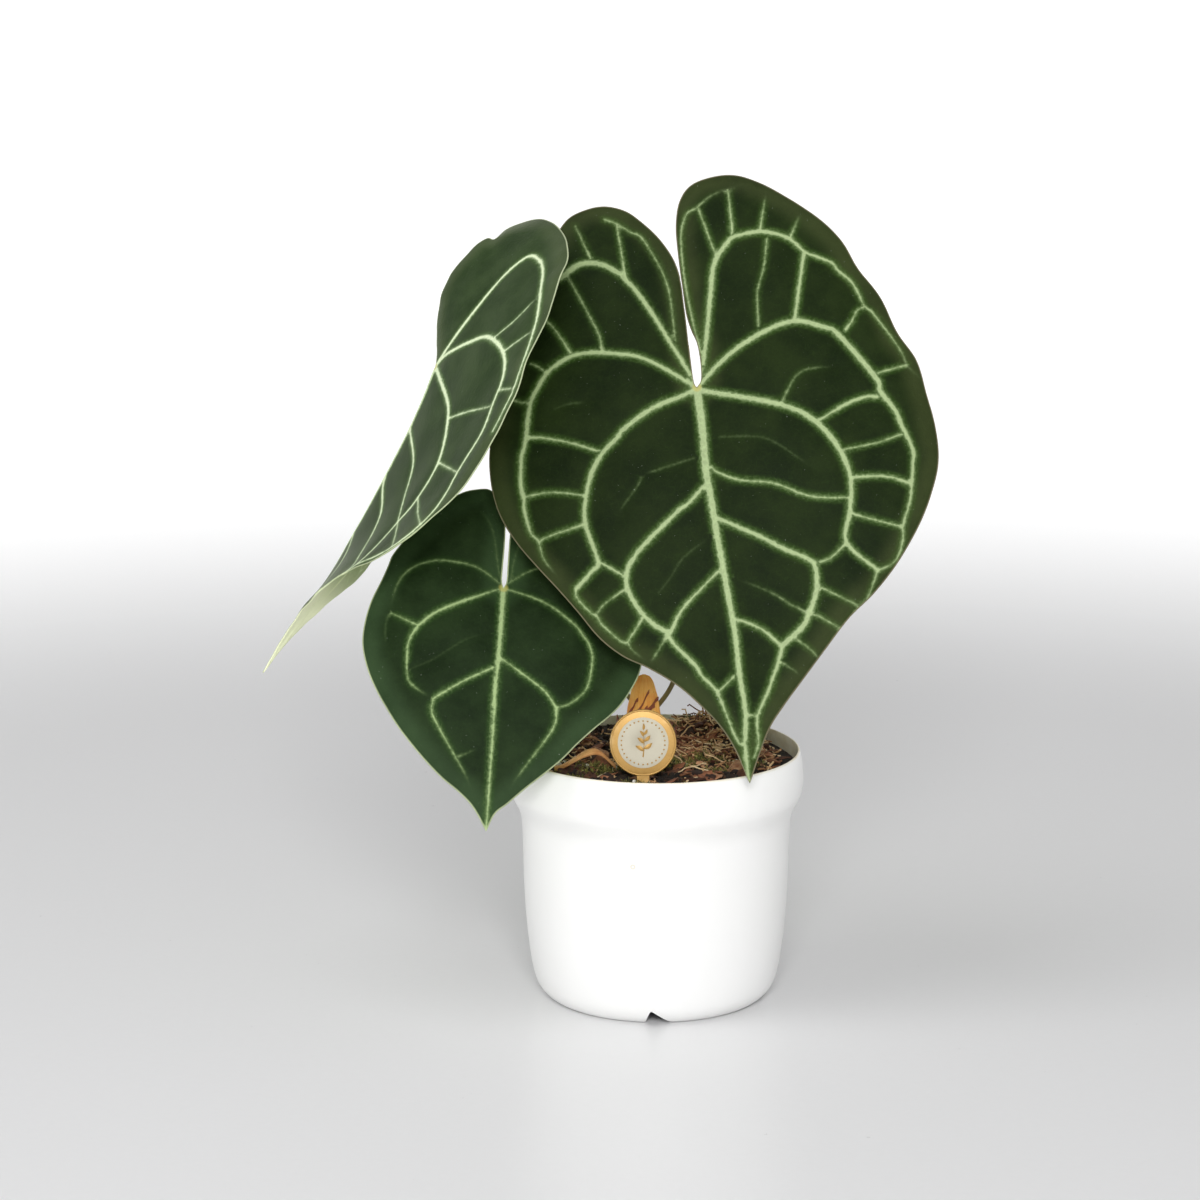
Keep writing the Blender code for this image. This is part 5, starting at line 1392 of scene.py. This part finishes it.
sprig = []
sprig_faces = []
stem = [((0.35 * math.sin(t * 3), -5.6 + 10.6 * t), t) for t in np.linspace(0, 1, 15)]
for k, ((sx, sy), t) in enumerate(stem):
    half = 0.24 * (1.15 - t)
    sprig += [(sx - half, sy, 0.06), (sx, sy, 0.24), (sx + half, sy, 0.06), (sx, sy, -0.02)]
    if k:
        sprig_faces += band(4, 4 * k - 4, 4 * k)
sprig_faces += [(0, 3, 2, 1), (56, 57, 58, 59)]
for t, heading, length, width in ((0.22, -1.0, 3.9, 0.95), (0.30, 0.95, 4.1, 1.0), (0.50, -0.85, 3.5, 0.85),
                                  (0.58, 0.8, 3.5, 0.85), (0.76, -0.6, 2.8, 0.7), (0.82, 0.55, 2.7, 0.65),
                                  (1.0, 0.0, 2.7, 0.6)):
    points, faces = sprig_leaf((0.35 * math.sin(t * 3), -5.6 + 10.6 * t), heading, length, width)
    sprig_faces += [tuple(len(sprig) + k for k in face) for face in faces]
    sprig += points
pick_pieces.append(mesh_object("Pick_sprig", on_face(sprig, 0), sprig_faces, gilt))
for piece in pick_pieces[-2:]:
    face_outwards(piece)
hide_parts("plant_pick")
for piece in pick_pieces:
    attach(piece, "root")


# Floor, light and camera
# A plain white floor that rises in a cove all round, under three soft boxes, in front, above and at
# the left, in a bright room. The camera stands where the photograph's did.

def floor_finish():
    """Plain white satin board with a painted glow: its emission rises away from the pot, standing in for the
    light on a lit studio cove.
    """
    mat = Finish("floor_board", Emission_Strength=1.0)
    tooth = mat.speckle(300, 3)
    away = mat.vectors("LENGTH", mat.place).out("Value")
    # Painted glow: emission that grows with distance from the pot, in place of lamp light on the far floor
    # and cove.
    glow = away.rise(0.5, 1.3) * 0.5 + away.rise(1.3, 3.2) * 0.12
    white = mat.blend(tooth, (0.765, 0.765, 0.77), (0.79, 0.79, 0.795))
    return mat.done(Base_Color=white, Roughness=0.26 + 0.06 * tooth,
                    Emission_Color=mat.vector(glow, glow, glow))


FLAT = 2400
BEND = 900
cove = [(0.1, 0), (300, 0), (800, 0), (1500, 0), (FLAT, 0)]
cove += [(FLAT + BEND * math.sin(a), BEND - BEND * math.cos(a)) for a in np.linspace(0.15, 1.3, 9)]
turns = 64
points = [(r * math.cos(2 * math.pi * k / turns), r * math.sin(2 * math.pi * k / turns), z)
          for r, z in cove for k in range(turns)]
faces = [quad for j in range(len(cove) - 1) for quad in band(turns, j * turns, (j + 1) * turns)]
floor = mesh_object("Floor", points, faces, floor_finish())
form = bmesh.new()
form.from_mesh(floor.data)
away = [f for f in form.faces if f.normal.z < -0.01 or f.normal.dot(f.calc_center_median()) > 0.01]
bmesh.ops.reverse_faces(form, faces=away)
form.to_mesh(floor.data)
form.free()
floor.data.shade_smooth()


def light(name, spot, aim, size, power):
    """A soft box aimed at a point."""
    lamp = bpy.data.lights.new(name, "AREA")
    lamp.shape = "RECTANGLE"
    lamp.size, lamp.size_y = size
    lamp.energy = power
    box = bpy.data.objects.new(name, lamp)
    bpy.context.scene.collection.objects.link(box)
    box.location = spot
    box.rotation_euler = (Vector(aim) - Vector(spot)).to_track_quat("-Z", "Y").to_euler()


light("front_box", (0.0, -1.75, 0.98), (0, 0, 0.16), (0.55, 0.5), 21.5)
light("top_box", (-0.35, -0.30, 1.25), (0, 0, 0.1), (0.6, 0.6), 3)
light("left_box", (-1.25, -0.35, 0.55), (0, 0, 0.2), (0.6, 0.9), 2.5)

world = bpy.data.worlds.new("room")
bpy.context.scene.world = world
world.use_nodes = True
world.node_tree.nodes["Background"].inputs["Color"].default_value = (1, 1, 1, 1)
world.node_tree.nodes["Background"].inputs["Strength"].default_value = 0.42
bpy.context.scene.view_settings.view_transform = "Standard"

camera = bpy.data.objects.new("camera", bpy.data.cameras.new("camera"))
bpy.context.scene.collection.objects.link(camera)
bpy.context.scene.camera = camera
camera.location = (-0.0228, -1.4277, 0.4600)
camera.rotation_euler = (math.radians(90 - 11.72), 0, 0)
camera.data.lens = 108.66
camera.data.sensor_width = 36
